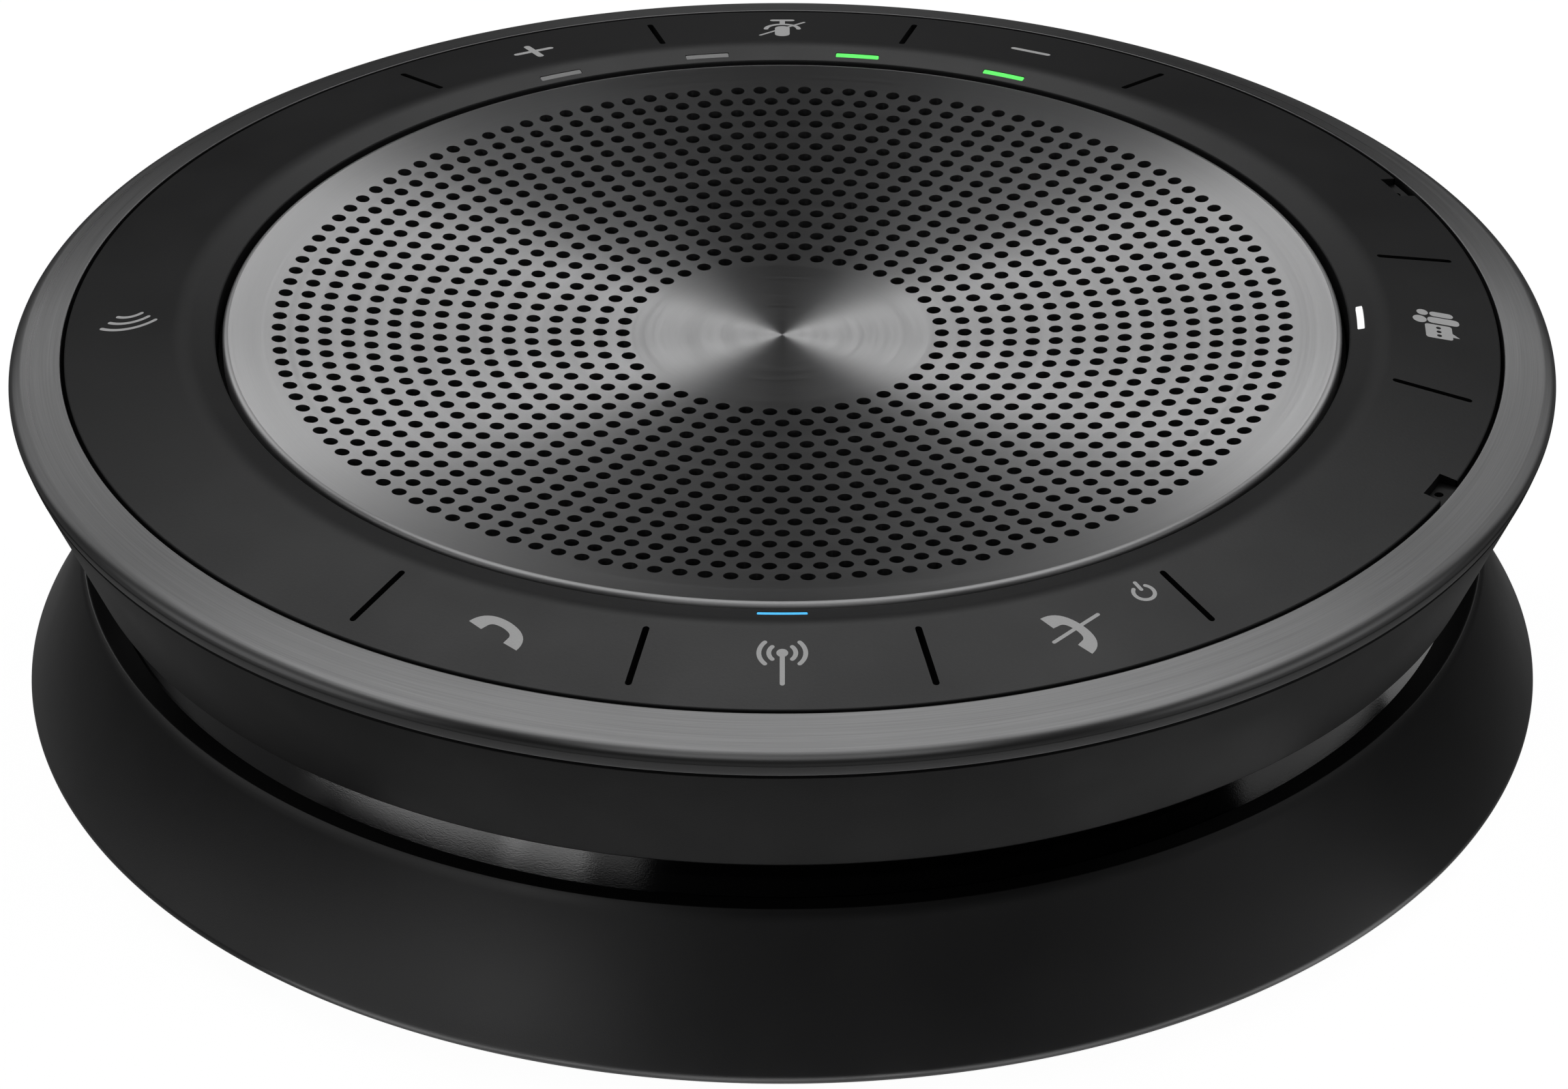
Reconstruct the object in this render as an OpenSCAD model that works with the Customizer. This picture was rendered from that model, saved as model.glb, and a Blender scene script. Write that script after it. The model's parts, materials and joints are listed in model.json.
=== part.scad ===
// Round table-top conference speakerphone.
// +Z is up, -Y is the user's side, and the origin is the centre of the foot ring on the table.
// All sizes are in millimetres. Angles run anticlockwise from +X, seen from above.

/* [Outer shells] */
// Diameter over the widest part of the flared base
base_d = 119.8; // [119:0.1:122]
// Diameter over the metal rim
rim_d = 119.8; // [119.4:0.1:121]
// Diameter of the waist between the body and the base
waist_d = 106.3; // [106.1:0.1:106.4]
// Diameter of the body at its lower edge
body_low_d = 110.2; // [108:0.1:112]
// Height of the base's lower edge above the table
base_lift = 2.15; // [2.1:0.05:2.2]
// Height of the flared base
base_h = 12.15; // [12.1:0.05:12.5]
// Height of the waist
waist_h = 4; // [3.9:0.1:4.2]
// Height of the tapered body below the rim
body_h = 10.55; // [10.5:0.05:11]

/* [Keypad] */
// Height of the keypad's crest above the rim
crest_rise = 1.65; // [1.4:0.05:1.8]
// How far a key travels when it is pressed
key_travel = 0.5; // [0.2:0.05:0.5]
// Width of the slots between the keys
slot_w = 0.5; // [0.4:0.05:0.8]
// Angle between the front keys
front_pitch = 22.7; // [20:0.1:25]
// Angle between the rear keys
rear_pitch = 24; // [20:0.1:25]
// Angle spanned by the side key and its two slots
side_pitch = 24; // [20:0.1:25]

/* [Grille] */
// Diameter of the grille over its rolled edge
grille_d = 86.7; // [86:0.1:87]
// Thickness of the grille's sheet
grille_t = 0.6; // [0.4:0.1:0.6]
// Diameter of each sound hole
hole_d = 2.3; // [1.5:0.1:2.6]
// Spacing of the rings of sound holes
hole_pitch = 3.547; // [3.5:0.001:3.6]

/* [Speaker] */
// How far the cone moves each way from rest
cone_travel = 1; // [0.5:0.1:1]

/* [Cable] */
// Diameter of the cable's jacket
cable_d = 3.8; // [3.4:0.1:3.8]
// Radius of the innermost turn in the storage channel
cable_turn_r = 39; // [38.9:0.1:39.1]

/* [Hidden] */

$fn = 96;
gap = 0.05;          // clearance between pieces that are fitted together
cut = 1;             // overshoot of a cutting solid
overlap = 0.2;       // how deep joined solids run into each other
slack = 0.1;         // room round a screw's head or shank in a clearance hole

// Heights of the outer shells
z_skirt = base_lift;
z_lip = z_skirt + base_h;
lip_rise = 0.35;
z_ledge = z_lip - lip_rise;
z_body = z_ledge + waist_h;
z_shell = z_body + body_h;
rim_h = 2.82;
z_rim_low = z_shell + 0.03;
z_rim = z_rim_low + rim_h;
z_crest = z_rim + crest_rise;

// Radii of the outer shells
base_r = base_d / 2;
rim_r = rim_d / 2;
waist_r = waist_d / 2;
body_low_r = body_low_d / 2;
body_top_r = rim_r - 0.3;
lip_r = body_low_r + 0.1;
shell_t = 1.9;
rim_in_r = rim_r - 4.05;

// Base plate and its cable channel
foot_in_r = 50.6;
foot_out_r = 54.6;
foot_seat = 1.2;
hub_r = 36.8;
hub_t = 1.4;
floor_t = 1.5;
channel_out_r = 49.3;
channel_z = 7.6;
plate_top_z = 9;
plate_r = 55;
plate_edge_r = 57.2;
plate_edge_t = 1.85;

// Waist drum, which is the lower chassis
drum_t = 1.8;
drum_in_r = hub_r - hub_t;
drum_floor_z = plate_top_z + gap;
drum_floor_t = 1.4;
drum_foot_r = 54.4;
drum_foot_z = 12.1;
drum_top_z = z_body - gap;

// Screws: positions, shank and head
screw_r = 1.1;
head_r = 1.9;
head_h = 1.5;
base_screw_r = 52.6;
chassis_screw_r = 48.2;
boss_r = 2.6;
body_screw_a = 15;
frame_screw_a = 45;
small_r = 0.9;
small_head_r = 1.6;
small_head_h = 0.9;

// Top frame
deck_in_r = 30.6;
deck_z = 25.3;
deck_t = 1.2;
outer_deck_z = 26.3;
collar_in_r = 42.2;
collar_out_r = 43.7;
collar_top_z = z_rim - 0.53;
frame_wall_r = 55.2;
frame_out_r = 56.6;
frame_flange_r = 58.4;
frame_flange_t = 0.8;
frame_flange_z = z_shell + gap;
keypad_lip_t = 0.4;

// Keypad
keypad_in_r = grille_d / 2 + 0.55;
keypad_out_r = rim_in_r - 0.3;
keypad_low_z = z_rim - 0.88;
crest_r = 46.4;
bevel_drop = 0.55;
crest_round = 4;
key_in_r = 47.5;
key_out_r = 53.8;
key_mid_r = (key_in_r + key_out_r) / 2;
key_gap = 0.1;
slot_a = slot_w / key_mid_r * 180 / PI;
front_a = 270;
side_a = -1.5;
rear_a = 90;
plunger_r = 1.2;
plunger_h = 0.55;

// Key board under the keypad
board_in_r = 43.9;
board_out_r = 55.1;
key_board_z = outer_deck_z + deck_t;
key_board_t = 1;
key_board_top = key_board_z + key_board_t;
switch_w = 3.2;
switch_h = 0.6;
dome_r = 1.1;
dome_top_z = keypad_low_z - plunger_h - key_travel - gap;
key_board_screw_r = 50;
key_board_screw_angles = [35, 145, 215, 325];
flex_a = 180;
flex_r = 44.8;
flex_w = 8;
flex_t = 0.25;

// Light windows on the keypad's bevel
window_in_r = 44.48;
window_out_r = 45.12;
window_span = 4.6;
guide_foot_z = 29.2;
guide_foot_h = 0.6;
guide_foot_out_r = 46;
led_h = 0.55;
led_w = 0.8;
led_l = 1.6;
rear_lit_angles = [81.9, 65.6];
rear_unlit_angles = [98.1, 114.4];

// Microphone recesses at the keypad's outer edge
mic_angles = [24.5, -27.3];
mic_notch_r = 54.15;
mic_notch_span = 3.4;
mic_notch_z = z_rim - 0.55;
mic_port_r = 0.35;
mic_port_at = 54.5;
mic_w = 2.6;
mic_l = 3.4;
mic_h = 0.9;
boot_r = 0.8;

// Grille
grille_r = grille_d / 2;
dish_low_z = z_rim - 0.92;
dish_rise = 1.781;
dish_ref_r = 40;
first_ring = 4;
last_ring = 11;
step_run = 0.3;
edge_round = 0.45;
edge_z = collar_top_z + 0.1;
cloth_t = 0.3;
cloth_r = collar_in_r - 0.3;
cloth_drop = grille_t + gap + 0.01;

// Speaker
flange_z = deck_z + deck_t;
flange_t = 1.2;
flange_r = 35;
flange_in_r = 28.3;
basket_low_r = 22.5;
basket_low_z = 18.7;
basket_ring_t = 1.2;
basket_t = 1;
cup_r = 13;
cup_in_r = 11;
cup_z = 12.6;
cup_floor_t = 1.5;
magnet_r = 9.2;
magnet_h = 4;
pole_r = 9.4;
pole_t = 1.8;
gap_top_z = cup_z + cup_floor_t + magnet_h + pole_t;
coil_in_r = 9.8;
former_t = 0.3;
winding_t = 0.35;
coil_z = 16.9;
winding_h = 2.3;
former_top_z = 23.2;
cone_edge_r = 24.2;
cone_edge_z = 27;
spider_z = 20.6;
spider_t = 0.3;
spider_wave = 0.3;
cone_t = 0.5;
cone_neck_z = spider_z + spider_t + spider_wave + slack + cone_travel + cone_t;
roll_r = 1.75;
roll_t = 0.4;
spider_out_r = 21.4;
spider_seat_r = 19.4;
cap_rise = 2.6;
gasket_in_r = 28.5;
gasket_out_r = 31.3;
gasket_top_z = 30.3;
speaker_screw_at = 33;
speaker_boss_h = 2.8;

// Main board
main_in_r = 16;
main_out_r = 44.4;
main_z = 12.6;
main_t = 1.2;
main_top = main_z + main_t;
standoff_r = 2.2;
standoff_at = 41;

// Battery in the hub
battery_x = 48;
battery_y = 38;
battery_h = 7;
battery_at_y = 5.3;
battery_round = 3;
pad_t = 0.5;
battery_z = z_skirt + floor_t + pad_t + gap;
lead_r = 0.6;
battery_lead_x = 20;

// Cable in its channel
cable_r = cable_d / 2;
cable_z = 5.3;
turn_step = 2;
half_turns = 5;
inner_end_a = 180;
tuck_r = 22;
tuck_a = 90;
tuck_x = tuck_r - cable_turn_r;
plug_y = -tuck_r;
outer_end_a = inner_end_a - 180 * half_turns + 720;
tuck_start_a = 8;
outer_end_r = cable_turn_r + turn_step * (half_turns - 1);
rise_r = 5;
entry_r = 3.5;
entry_z = 12.4;
groove_clear = 0.3;

// Plug in its bay
plug_x0 = -10;
plug_l = 21;
plug_w = 11.4;
plug_h = 5.8;
plug_round = 2;
shell_l = 6.6;
shell_w = 8.3;
shell_h = 2.5;
shell_wall = 0.3;
bay_x0 = -11.5;
bay_x1 = 20;
bay_w = 12.6;
bay_z = 8.6;
bay_block_w = 15.2;
bay_block_z = 9.8;
bay_block_x1 = 22;

// Rating label, left blank
label_x = 44;
label_y = 22;
label_t = 0.12;
label_at_y = 8;

function dish_z(r) = dish_low_z + dish_rise * pow(r / dish_ref_r, 2);
function shell_r(z) = body_low_r + (z - z_body) / body_h * (body_top_r - body_low_r);
function arc(cx, cy, r, a0, a1, n) =
    [for (i = [0 : n]) let (a = a0 + (a1 - a0) * i / n) [cx + r * cos(a), cy + r * sin(a)]];
function bezier(p0, p1, p2, n) =
    [for (i = [0 : n]) let (t = i / n) (1 - t) * (1 - t) * p0 + 2 * t * (1 - t) * p1 + t * t * p2];
function reversed(points) = [for (i = [len(points) - 1 : -1 : 0]) points[i]];

// ---------- helpers ----------

// Place children at radius r and angle a
module at(r, a) {
    rotate([0, 0, a]) translate([r, 0, 0]) children();
}

// Repeat children n times round the axis
module around(n, r, a0) {
    for (i = [0 : n - 1]) at(r, a0 + i * 360 / n) children();
}

// Ring with a square section
module tube(r_in, r_out, z0, z1) {
    rotate_extrude() translate([r_in, z0]) square([r_out - r_in, z1 - z0]);
}

// Stretch of such a ring, centred on angle mid
module band(r_in, r_out, z0, z1, mid, span) {
    rotate([0, 0, mid - span / 2]) rotate_extrude(angle = span)
        translate([r_in, z0]) square([r_out - r_in, z1 - z0]);
}

// Flat plate with rounded corners, centred on the origin
module rounded_plate(x, y, h, r) {
    linear_extrude(h) {
        square([x - 2 * r, y], center = true);
        square([x, y - 2 * r], center = true);
        for (sx = [-1, 1]) for (sy = [-1, 1])
            translate([sx * (x / 2 - r), sy * (y / 2 - r)]) circle(r);
    }
}

// Box standing on z = 0, centred in x and y
module block(x, y, h) {
    translate([-x / 2, -y / 2, 0]) cube([x, y, h]);
}

// Screw with its head's underside at z = 0 and a hexagonal socket, pointing down
module screw(r, length, hr, hh) {
    difference() {
        union() {
            cylinder(r = hr, h = hh, $fn = 32);
            translate([0, 0, -length]) cylinder(r = r, h = length, $fn = 32);
        }
        translate([0, 0, hh * 0.4]) cylinder(r = hr * 0.5, h = hh, $fn = 6);
    }
}

// Disc that follows the dish in flat steps, one for each ring of holes
module dish(r_out, top, low) {
    steps = concat([[0, 0], [(first_ring - 0.5) * hole_pitch, 0]],
                   [for (m = [first_ring : last_ring]) each
                       [[(m - 0.5) * hole_pitch + step_run, m * hole_pitch],
                        [min((m + 0.5) * hole_pitch - step_run, r_out), m * hole_pitch]]],
                   (last_ring + 0.5) * hole_pitch < r_out ? [[r_out, r_out]] : []);
    rotate_extrude() polygon(concat(
        [for (s = steps) [s[0], dish_z(s[1]) + low]],
        reversed([for (s = steps) [s[0], dish_z(s[1]) + top]])
    ));
}

// ---------- top ----------

// Sheet of the grille before it is drilled, with its rolled edge
module grille_sheet() {
    shoulder_r = grille_r - edge_round;
    shoulder_z = dish_z(shoulder_r);
    inner_r = grille_r - grille_t;
    union() {
        dish(shoulder_r - edge_round, 0, -grille_t);
        rotate_extrude() polygon(concat(
            [[shoulder_r - edge_round, dish_z(shoulder_r - edge_round) - grille_t],
             [inner_r, dish_z(inner_r) - grille_t], [inner_r, edge_z], [grille_r, edge_z]],
            arc(shoulder_r, shoulder_z - edge_round, edge_round, 0, 90, 4),
            [[shoulder_r - edge_round, dish_z(shoulder_r - edge_round)]]
        ));
    }
}

// The sheet with its rings of sound holes drilled, up to ring m
module drilled_sheet(m) {
    difference() {
        if (m > first_ring) drilled_sheet(m - 1);
        else grille_sheet();
        around(6 * m, m * hole_pitch, 0) translate([0, 0, dish_low_z - cut])
            cylinder(d = hole_d, h = 2 * cut + dish_rise, $fn = 16);
    }
}

// Perforated metal grille
module grille() {
    color("silver") drilled_sheet(last_ring);
}

// Acoustic cloth behind the sound holes
module grille_cloth() {
    color("black") dish(cloth_r, -cloth_drop, -cloth_drop - cloth_t);
}

// Section of the keypad: an inner bevel, a rounded crest and an outer slope
module keypad_solid() {
    bevel_a = atan(bevel_drop / (crest_r - keypad_in_r));
    slope_a = atan(crest_rise / (keypad_out_r - crest_r));
    shift = crest_round * (cos(slope_a) - cos(bevel_a)) / sin(slope_a + bevel_a);
    drop = (crest_round - shift * sin(bevel_a)) / cos(bevel_a);
    rotate_extrude() polygon(concat(
        [[keypad_in_r, keypad_low_z], [keypad_out_r, keypad_low_z], [keypad_out_r, z_rim]],
        arc(crest_r + shift, z_crest - drop, crest_round, 90 - slope_a, 90 + bevel_a, 4),
        [[keypad_in_r, z_crest - bevel_drop]]
    ));
}

// Window in the keypad for a row of keys
module key_window(mid, span) {
    band(key_in_r - key_gap, key_out_r + key_gap, keypad_low_z - cut, z_crest + cut,
         mid, span + slot_a);
}

// Soft-touch ring that carries the windows, the slots and the microphone recesses
module keypad_ring() {
    color([0.27, 0.27, 0.28]) difference() {
        keypad_solid();
        key_window(front_a, 3 * front_pitch);
        key_window(rear_a, 3 * rear_pitch);
        key_window(side_a, side_pitch);
        for (a = concat([front_a, side_a], rear_lit_angles, rear_unlit_angles))
            band(window_in_r - gap, window_out_r + gap, keypad_low_z - cut, z_crest + cut,
                 a, window_span + 0.1);
        for (a = mic_angles) {
            band(mic_notch_r, keypad_out_r + cut, mic_notch_z, z_crest, a, mic_notch_span);
            at(mic_port_at, a) translate([0, 0, keypad_low_z - cut])
                cylinder(r = mic_port_r, h = 3 * cut, $fn = 24);
        }
    }
}

// One key: a patch of the keypad with a plunger below it
module key(mid, pitch) {
    color([0.3, 0.3, 0.31]) union() {
        intersection() {
            keypad_solid();
            band(key_in_r, key_out_r, keypad_low_z - cut, z_crest + cut, mid, pitch - slot_a);
        }
        at(key_mid_r, mid) translate([0, 0, keypad_low_z - plunger_h])
            cylinder(r = plunger_r, h = plunger_h + overlap, $fn = 32);
    }
}

module answer_key() { key(front_a - front_pitch, front_pitch); }
module wireless_key() { key(front_a, front_pitch); }
module end_key() { key(front_a + front_pitch, front_pitch); }
module assistant_key() { key(side_a, side_pitch); }
module volume_down_key() { key(rear_a - rear_pitch, rear_pitch); }
module mute_key() { key(rear_a, rear_pitch); }
module volume_up_key() { key(rear_a + rear_pitch, rear_pitch); }

// Brushed metal rim: a chamfer, a rounded edge and a lip over the body
module rim_ring() {
    color("darkgray") rotate_extrude() polygon(concat(
        [[rim_in_r, z_rim - 1.95], [frame_flange_r + 0.15, z_rim - 1.95],
         [frame_flange_r + 0.15, z_rim_low], [rim_r - 0.3, z_rim_low]],
        bezier([rim_r, z_rim - 1.9], [rim_r + 0.05, z_rim - 1.15], [rim_r - 1, z_rim - 0.82], 5),
        [[rim_in_r, z_rim]]
    ));
}

// Structural ring that carries the grille, the key board, the keypad and the speaker
module top_frame() {
    color("dimgray") difference() {
        union() {
            rotate_extrude() polygon([
                [deck_in_r, deck_z], [collar_out_r, deck_z], [collar_out_r, outer_deck_z],
                [frame_out_r, outer_deck_z], [frame_out_r, frame_flange_z],
                [frame_flange_r, frame_flange_z], [frame_flange_r, frame_flange_z + frame_flange_t],
                [frame_wall_r + keypad_lip_t, frame_flange_z + frame_flange_t],
                [frame_wall_r + keypad_lip_t, keypad_low_z], [frame_wall_r, keypad_low_z],
                [frame_wall_r, key_board_z], [collar_out_r, key_board_z],
                [collar_out_r, collar_top_z], [collar_in_r, collar_top_z],
                [collar_in_r, flange_z], [deck_in_r, flange_z]
            ]);
            around(6, chassis_screw_r, frame_screw_a) translate([0, 0, z_body + shell_t])
                cylinder(r = boss_r, h = outer_deck_z - z_body - shell_t + overlap, $fn = 32);
            around(4, speaker_screw_at, 45) translate([0, 0, deck_z - speaker_boss_h])
                cylinder(r = standoff_r, h = speaker_boss_h + overlap, $fn = 32);
        }
        around(6, chassis_screw_r, frame_screw_a) translate([0, 0, z_body])
            cylinder(r = screw_r + gap, h = 7, $fn = 32);
        around(4, speaker_screw_at, 45) translate([0, 0, deck_z - speaker_boss_h + 0.5])
            cylinder(r = small_r + gap, h = speaker_boss_h + deck_t, $fn = 32);
        for (a = key_board_screw_angles) at(key_board_screw_r, a)
            translate([0, 0, outer_deck_z - cut]) cylinder(r = small_r + gap, h = 4 * cut, $fn = 32);
        at(flex_r, flex_a) translate([0, 0, deck_z - cut]) block(3 * flex_t, flex_w + 0.4, 4 * cut);
    }
}

// ---------- body and base ----------

// Tapered body with a flange inside its lower edge
module body_shell() {
    bevel = 0.25;
    floor_z = z_body + shell_t - 0.3;
    color([0.12, 0.12, 0.13]) difference() {
        rotate_extrude() polygon([
            [34, z_body], [body_low_r - bevel, z_body], [shell_r(z_body + bevel), z_body + bevel],
            [body_top_r, z_shell], [body_top_r - shell_t, z_shell],
            [shell_r(floor_z) - shell_t, floor_z], [34, floor_z]
        ]);
        around(6, chassis_screw_r, body_screw_a) translate([0, 0, z_body - cut])
            cylinder(r = screw_r + gap, h = 4 * cut, $fn = 32);
        around(6, chassis_screw_r, frame_screw_a) translate([0, 0, z_body - cut])
            cylinder(r = screw_r + gap, h = 4 * cut, $fn = 32);
        at(flex_r, flex_a) translate([0, 0, z_body - cut]) block(3 * flex_t, flex_w + 0.4, 4 * cut);
    }
}

// Window in the channel roof and the drum floor for the rising cable
module cable_window(z0, h, margin) {
    rotate([0, 0, outer_end_a]) translate([outer_end_r, -rise_r / 2, z0])
        block(2 * cable_r + 0.4 + 2 * margin, rise_r + 2 * cable_r + 1.4 + 2 * margin, h);
}

// Waist cylinder with the floor that carries the main board
module waist_drum() {
    color([0.05, 0.05, 0.05]) difference() {
        union() {
            rotate_extrude() polygon([
                [drum_in_r, drum_floor_z], [drum_foot_r, drum_floor_z], [drum_foot_r, drum_foot_z],
                [waist_r, drum_foot_z], [waist_r, drum_top_z], [waist_r - drum_t, drum_top_z],
                [waist_r - drum_t, drum_floor_z + drum_floor_t],
                [drum_in_r, drum_floor_z + drum_floor_t]
            ]);
            around(6, chassis_screw_r, body_screw_a) translate([0, 0, drum_floor_z])
                cylinder(r = boss_r, h = drum_top_z - drum_floor_z, $fn = 32);
            around(4, standoff_at, 45) translate([0, 0, drum_floor_z])
                cylinder(r = standoff_r, h = main_z - drum_floor_z, $fn = 32);
        }
        around(6, chassis_screw_r, body_screw_a) translate([0, 0, drum_floor_z + drum_floor_t])
            cylinder(r = screw_r + gap, h = drum_top_z, $fn = 32);
        around(4, standoff_at, 45) translate([0, 0, drum_floor_z + 0.6])
            cylinder(r = small_r + gap, h = main_z, $fn = 32);
        around(6, base_screw_r, 0) translate([0, 0, drum_floor_z - cut])
            cylinder(r = screw_r + gap, h = drum_foot_z - drum_floor_z + cut - 0.4, $fn = 32);
        cable_window(drum_floor_z - cut, drum_floor_t + 2 * cut, gap);
    }
}

// Flared skirt round the base, with the ledge below the waist
module base_skirt() {
    flare = bezier([lip_r, z_lip], [56.69, 8.2], [base_r, z_skirt + 0.66], 10);
    wall = 2;
    color([0.13, 0.13, 0.14]) rotate_extrude() polygon(concat(
        [[waist_r + 0.1, z_ledge]],
        [[lip_r - 0.2, z_lip - 0.03]],
        flare,
        arc(base_r - 0.62, z_skirt + 0.62, 0.62, 0, -80, 4),
        [[plate_edge_r + 0.1, z_skirt], [plate_edge_r + 0.1, z_skirt + plate_edge_t + gap],
         [plate_r + 0.25, 9.4], [drum_foot_r + 0.15, 10.6], [drum_foot_r + 0.1, drum_foot_z + gap],
         [waist_r + 0.1, drum_foot_z + gap]]
    ));
}

// Slot that the cable follows from the channel into the plug bay
module cable_tuck(clear) {
    w = cable_r + clear;
    translate([tuck_x, 0, 0]) rotate([0, 0, inner_end_a + tuck_start_a])
        rotate_extrude(angle = tuck_a - tuck_start_a) translate([tuck_r - w, z_skirt - cut])
            square([2 * w, channel_z - z_skirt + cut]);
    translate([tuck_x - cut, plug_y - w + gap, z_skirt - cut])
        cube([bay_x0 - tuck_x + 2 * cut, 2 * (w - gap), channel_z - z_skirt + cut]);
}

// Bottom cover: a hub, a channel for the stowed cable and a seat for the foot ring
module base_plate() {
    foot_z = z_skirt + foot_seat;
    color([0.1, 0.1, 0.1]) difference() {
        union() {
            rotate_extrude() polygon([
                [0, z_skirt], [hub_r, z_skirt], [hub_r, channel_z], [channel_out_r, channel_z],
                [channel_out_r, z_skirt], [foot_in_r - 0.1, z_skirt], [foot_in_r - 0.1, foot_z],
                [foot_out_r + 0.1, foot_z], [foot_out_r + 0.1, z_skirt], [plate_edge_r, z_skirt],
                [plate_edge_r, z_skirt + plate_edge_t], [plate_r, z_skirt + plate_edge_t],
                [plate_r, plate_top_z], [drum_in_r, plate_top_z],
                [drum_in_r, z_skirt + floor_t], [0, z_skirt + floor_t]
            ]);
            intersection() {
                union() {
                    cylinder(r = drum_in_r + overlap, h = plate_top_z - overlap);
                    cylinder(r = drum_in_r - gap, h = bay_block_z);
                }
                translate([-hub_r, plug_y - bay_block_w / 2, z_skirt + overlap])
                    cube([hub_r + bay_block_x1, bay_block_w, bay_block_z - z_skirt - overlap]);
            }
            for (a = [15, 105, 165, 285])
                band(channel_out_r - 3.6, channel_out_r + 0.4, z_skirt, z_skirt + 0.9, a, 9);
        }
        translate([bay_x0, plug_y - bay_w / 2, z_skirt - cut])
            cube([bay_x1 - bay_x0, bay_w, bay_z - z_skirt + cut]);
        cable_tuck(groove_clear);
        cable_window(channel_z - cut, plate_top_z, gap);
        around(6, base_screw_r, 0) {
            translate([0, 0, foot_z - slack])
                cylinder(r = head_r + slack, h = head_h + slack, $fn = 32);
            translate([0, 0, foot_z]) cylinder(r = screw_r + gap, h = plate_top_z, $fn = 32);
        }
    }
}

// Soft ring that the unit stands on
module foot_ring() {
    bevel = 0.5;
    top_z = z_skirt + foot_seat - gap;
    color("black") rotate_extrude() polygon([
        [foot_in_r, bevel], [foot_in_r + bevel, 0], [foot_out_r - bevel, 0], [foot_out_r, bevel],
        [foot_out_r, top_z], [foot_in_r, top_z]
    ]);
}

// Blank label on the underside
module rating_label() {
    color("gray") translate([0, label_at_y, z_skirt - label_t])
        rounded_plate(label_x, label_y, label_t, 2);
}

// ---------- cable ----------

// Stretch of cable bent to radius r from angle a0, over angle span
module cable_arc(r, a0, span, radius) {
    rotate([0, 0, a0]) rotate_extrude(angle = span) translate([r, 0]) circle(radius, $fn = 32);
}

// Path of the cable where it rises through the channel roof to its socket
module cable_rise(radius) {
    rotate([0, 0, outer_end_a]) translate([outer_end_r, 0, 0]) {
        translate([0, 0, cable_z + rise_r]) rotate([90, 0, -90]) rotate([0, 0, -90])
            cable_arc(rise_r, 0, 90, radius);
        translate([0, -rise_r, cable_z + rise_r])
            cylinder(r = radius, h = entry_z - cable_z - rise_r, $fn = 32);
        translate([-entry_r, -rise_r, entry_z]) rotate([90, 0, 0])
            cable_arc(entry_r, 0, 90, radius);
    }
}

// Cable wound in the channel: half turns that widen by one step each
module cable() {
    color([0.08, 0.08, 0.08]) union() {
        for (k = [0 : half_turns - 1]) {
            shift = k % 2 == 0 ? 0 : turn_step;
            translate([-shift, 0, cable_z])
                cable_arc(cable_turn_r + turn_step * k, inner_end_a - 180 * (k + 1), 180, cable_r);
        }
        translate([tuck_x, 0, cable_z]) cable_arc(tuck_r, inner_end_a, tuck_a, cable_r);
        translate([tuck_x, plug_y, cable_z]) rotate([90, 0, 90])
            cylinder(r = cable_r, h = plug_x0 - tuck_x, $fn = 32);
        cable_rise(cable_r);
    }
}

// Rubber block that seals the cable where it passes through the chassis
module cable_grommet() {
    color("black") difference() {
        cable_window(channel_z, drum_floor_z + drum_floor_t + 0.4 - channel_z, 0);
        cable_rise(cable_r + gap);
    }
}

// Moulded grip of the plug
module plug_body() {
    color([0.1, 0.1, 0.1]) translate([plug_x0, plug_y, cable_z]) rotate([0, 90, 0])
        rotate([0, 0, 90]) rounded_plate(plug_w, plug_h, plug_l, plug_round);
}

// Metal shell of the plug
module plug_shell() {
    color("silver") translate([plug_x0 + plug_l, plug_y, cable_z]) rotate([0, 90, 0])
        rotate([0, 0, 90]) difference() {
            rounded_plate(shell_w, shell_h, shell_l, shell_h / 2 - 0.01);
            translate([0, 0, cut]) rounded_plate(shell_w - 2 * shell_wall, shell_h - 2 * shell_wall,
                                                 shell_l, shell_h / 2 - shell_wall - 0.01);
        }
}

// ---------- lights, switches and microphones ----------

// Clear bar from a light on the key board up to the keypad's bevel
module light_guide(a) {
    intersection() {
        union() {
            keypad_solid();
            tube(board_in_r, guide_foot_out_r, guide_foot_z, keypad_low_z);
        }
        band(window_in_r, window_out_r, guide_foot_z, z_crest, a, window_span);
    }
    band(window_in_r - 0.2, guide_foot_out_r, guide_foot_z, guide_foot_z + guide_foot_h,
         a, window_span);
}

module front_light_guide() { color("deepskyblue") light_guide(front_a); }
module side_light_guide() { color("white") light_guide(side_a); }
module rear_lit_guides() { color("limegreen") for (a = rear_lit_angles) light_guide(a); }
module rear_unlit_guides() { color("gray") for (a = rear_unlit_angles) light_guide(a); }

// Light sources under the guides
module status_leds() {
    color("khaki") for (a = concat([front_a, side_a], rear_lit_angles, rear_unlit_angles))
        at((window_in_r + window_out_r) / 2, a) translate([0, 0, key_board_top])
            block(led_w, led_l, led_h);
}

// Ring-shaped circuit board under the keypad
module key_board() {
    color("darkgreen") difference() {
        tube(board_in_r, board_out_r, key_board_z, key_board_top);
        for (a = key_board_screw_angles) at(key_board_screw_r, a)
            translate([0, 0, key_board_z - cut]) cylinder(r = small_r + gap, h = 3 * cut, $fn = 32);
    }
}

// Snap-dome switches, one under each key
module key_switches() {
    angles = [
        front_a - front_pitch, front_a, front_a + front_pitch, side_a,
        rear_a - rear_pitch, rear_a, rear_a + rear_pitch
    ];
    color("gold") for (a = angles) at(key_mid_r, a) {
        translate([0, 0, key_board_top]) block(switch_w, switch_w, switch_h);
        translate([0, 0, key_board_top + switch_h])
            cylinder(r = dome_r, h = dome_top_z - key_board_top - switch_h, $fn = 32);
    }
}

module key_board_screws() {
    color("silver") for (a = key_board_screw_angles) at(key_board_screw_r, a)
        translate([0, 0, key_board_top]) screw(small_r, 2, small_head_r, small_head_h);
}

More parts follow.
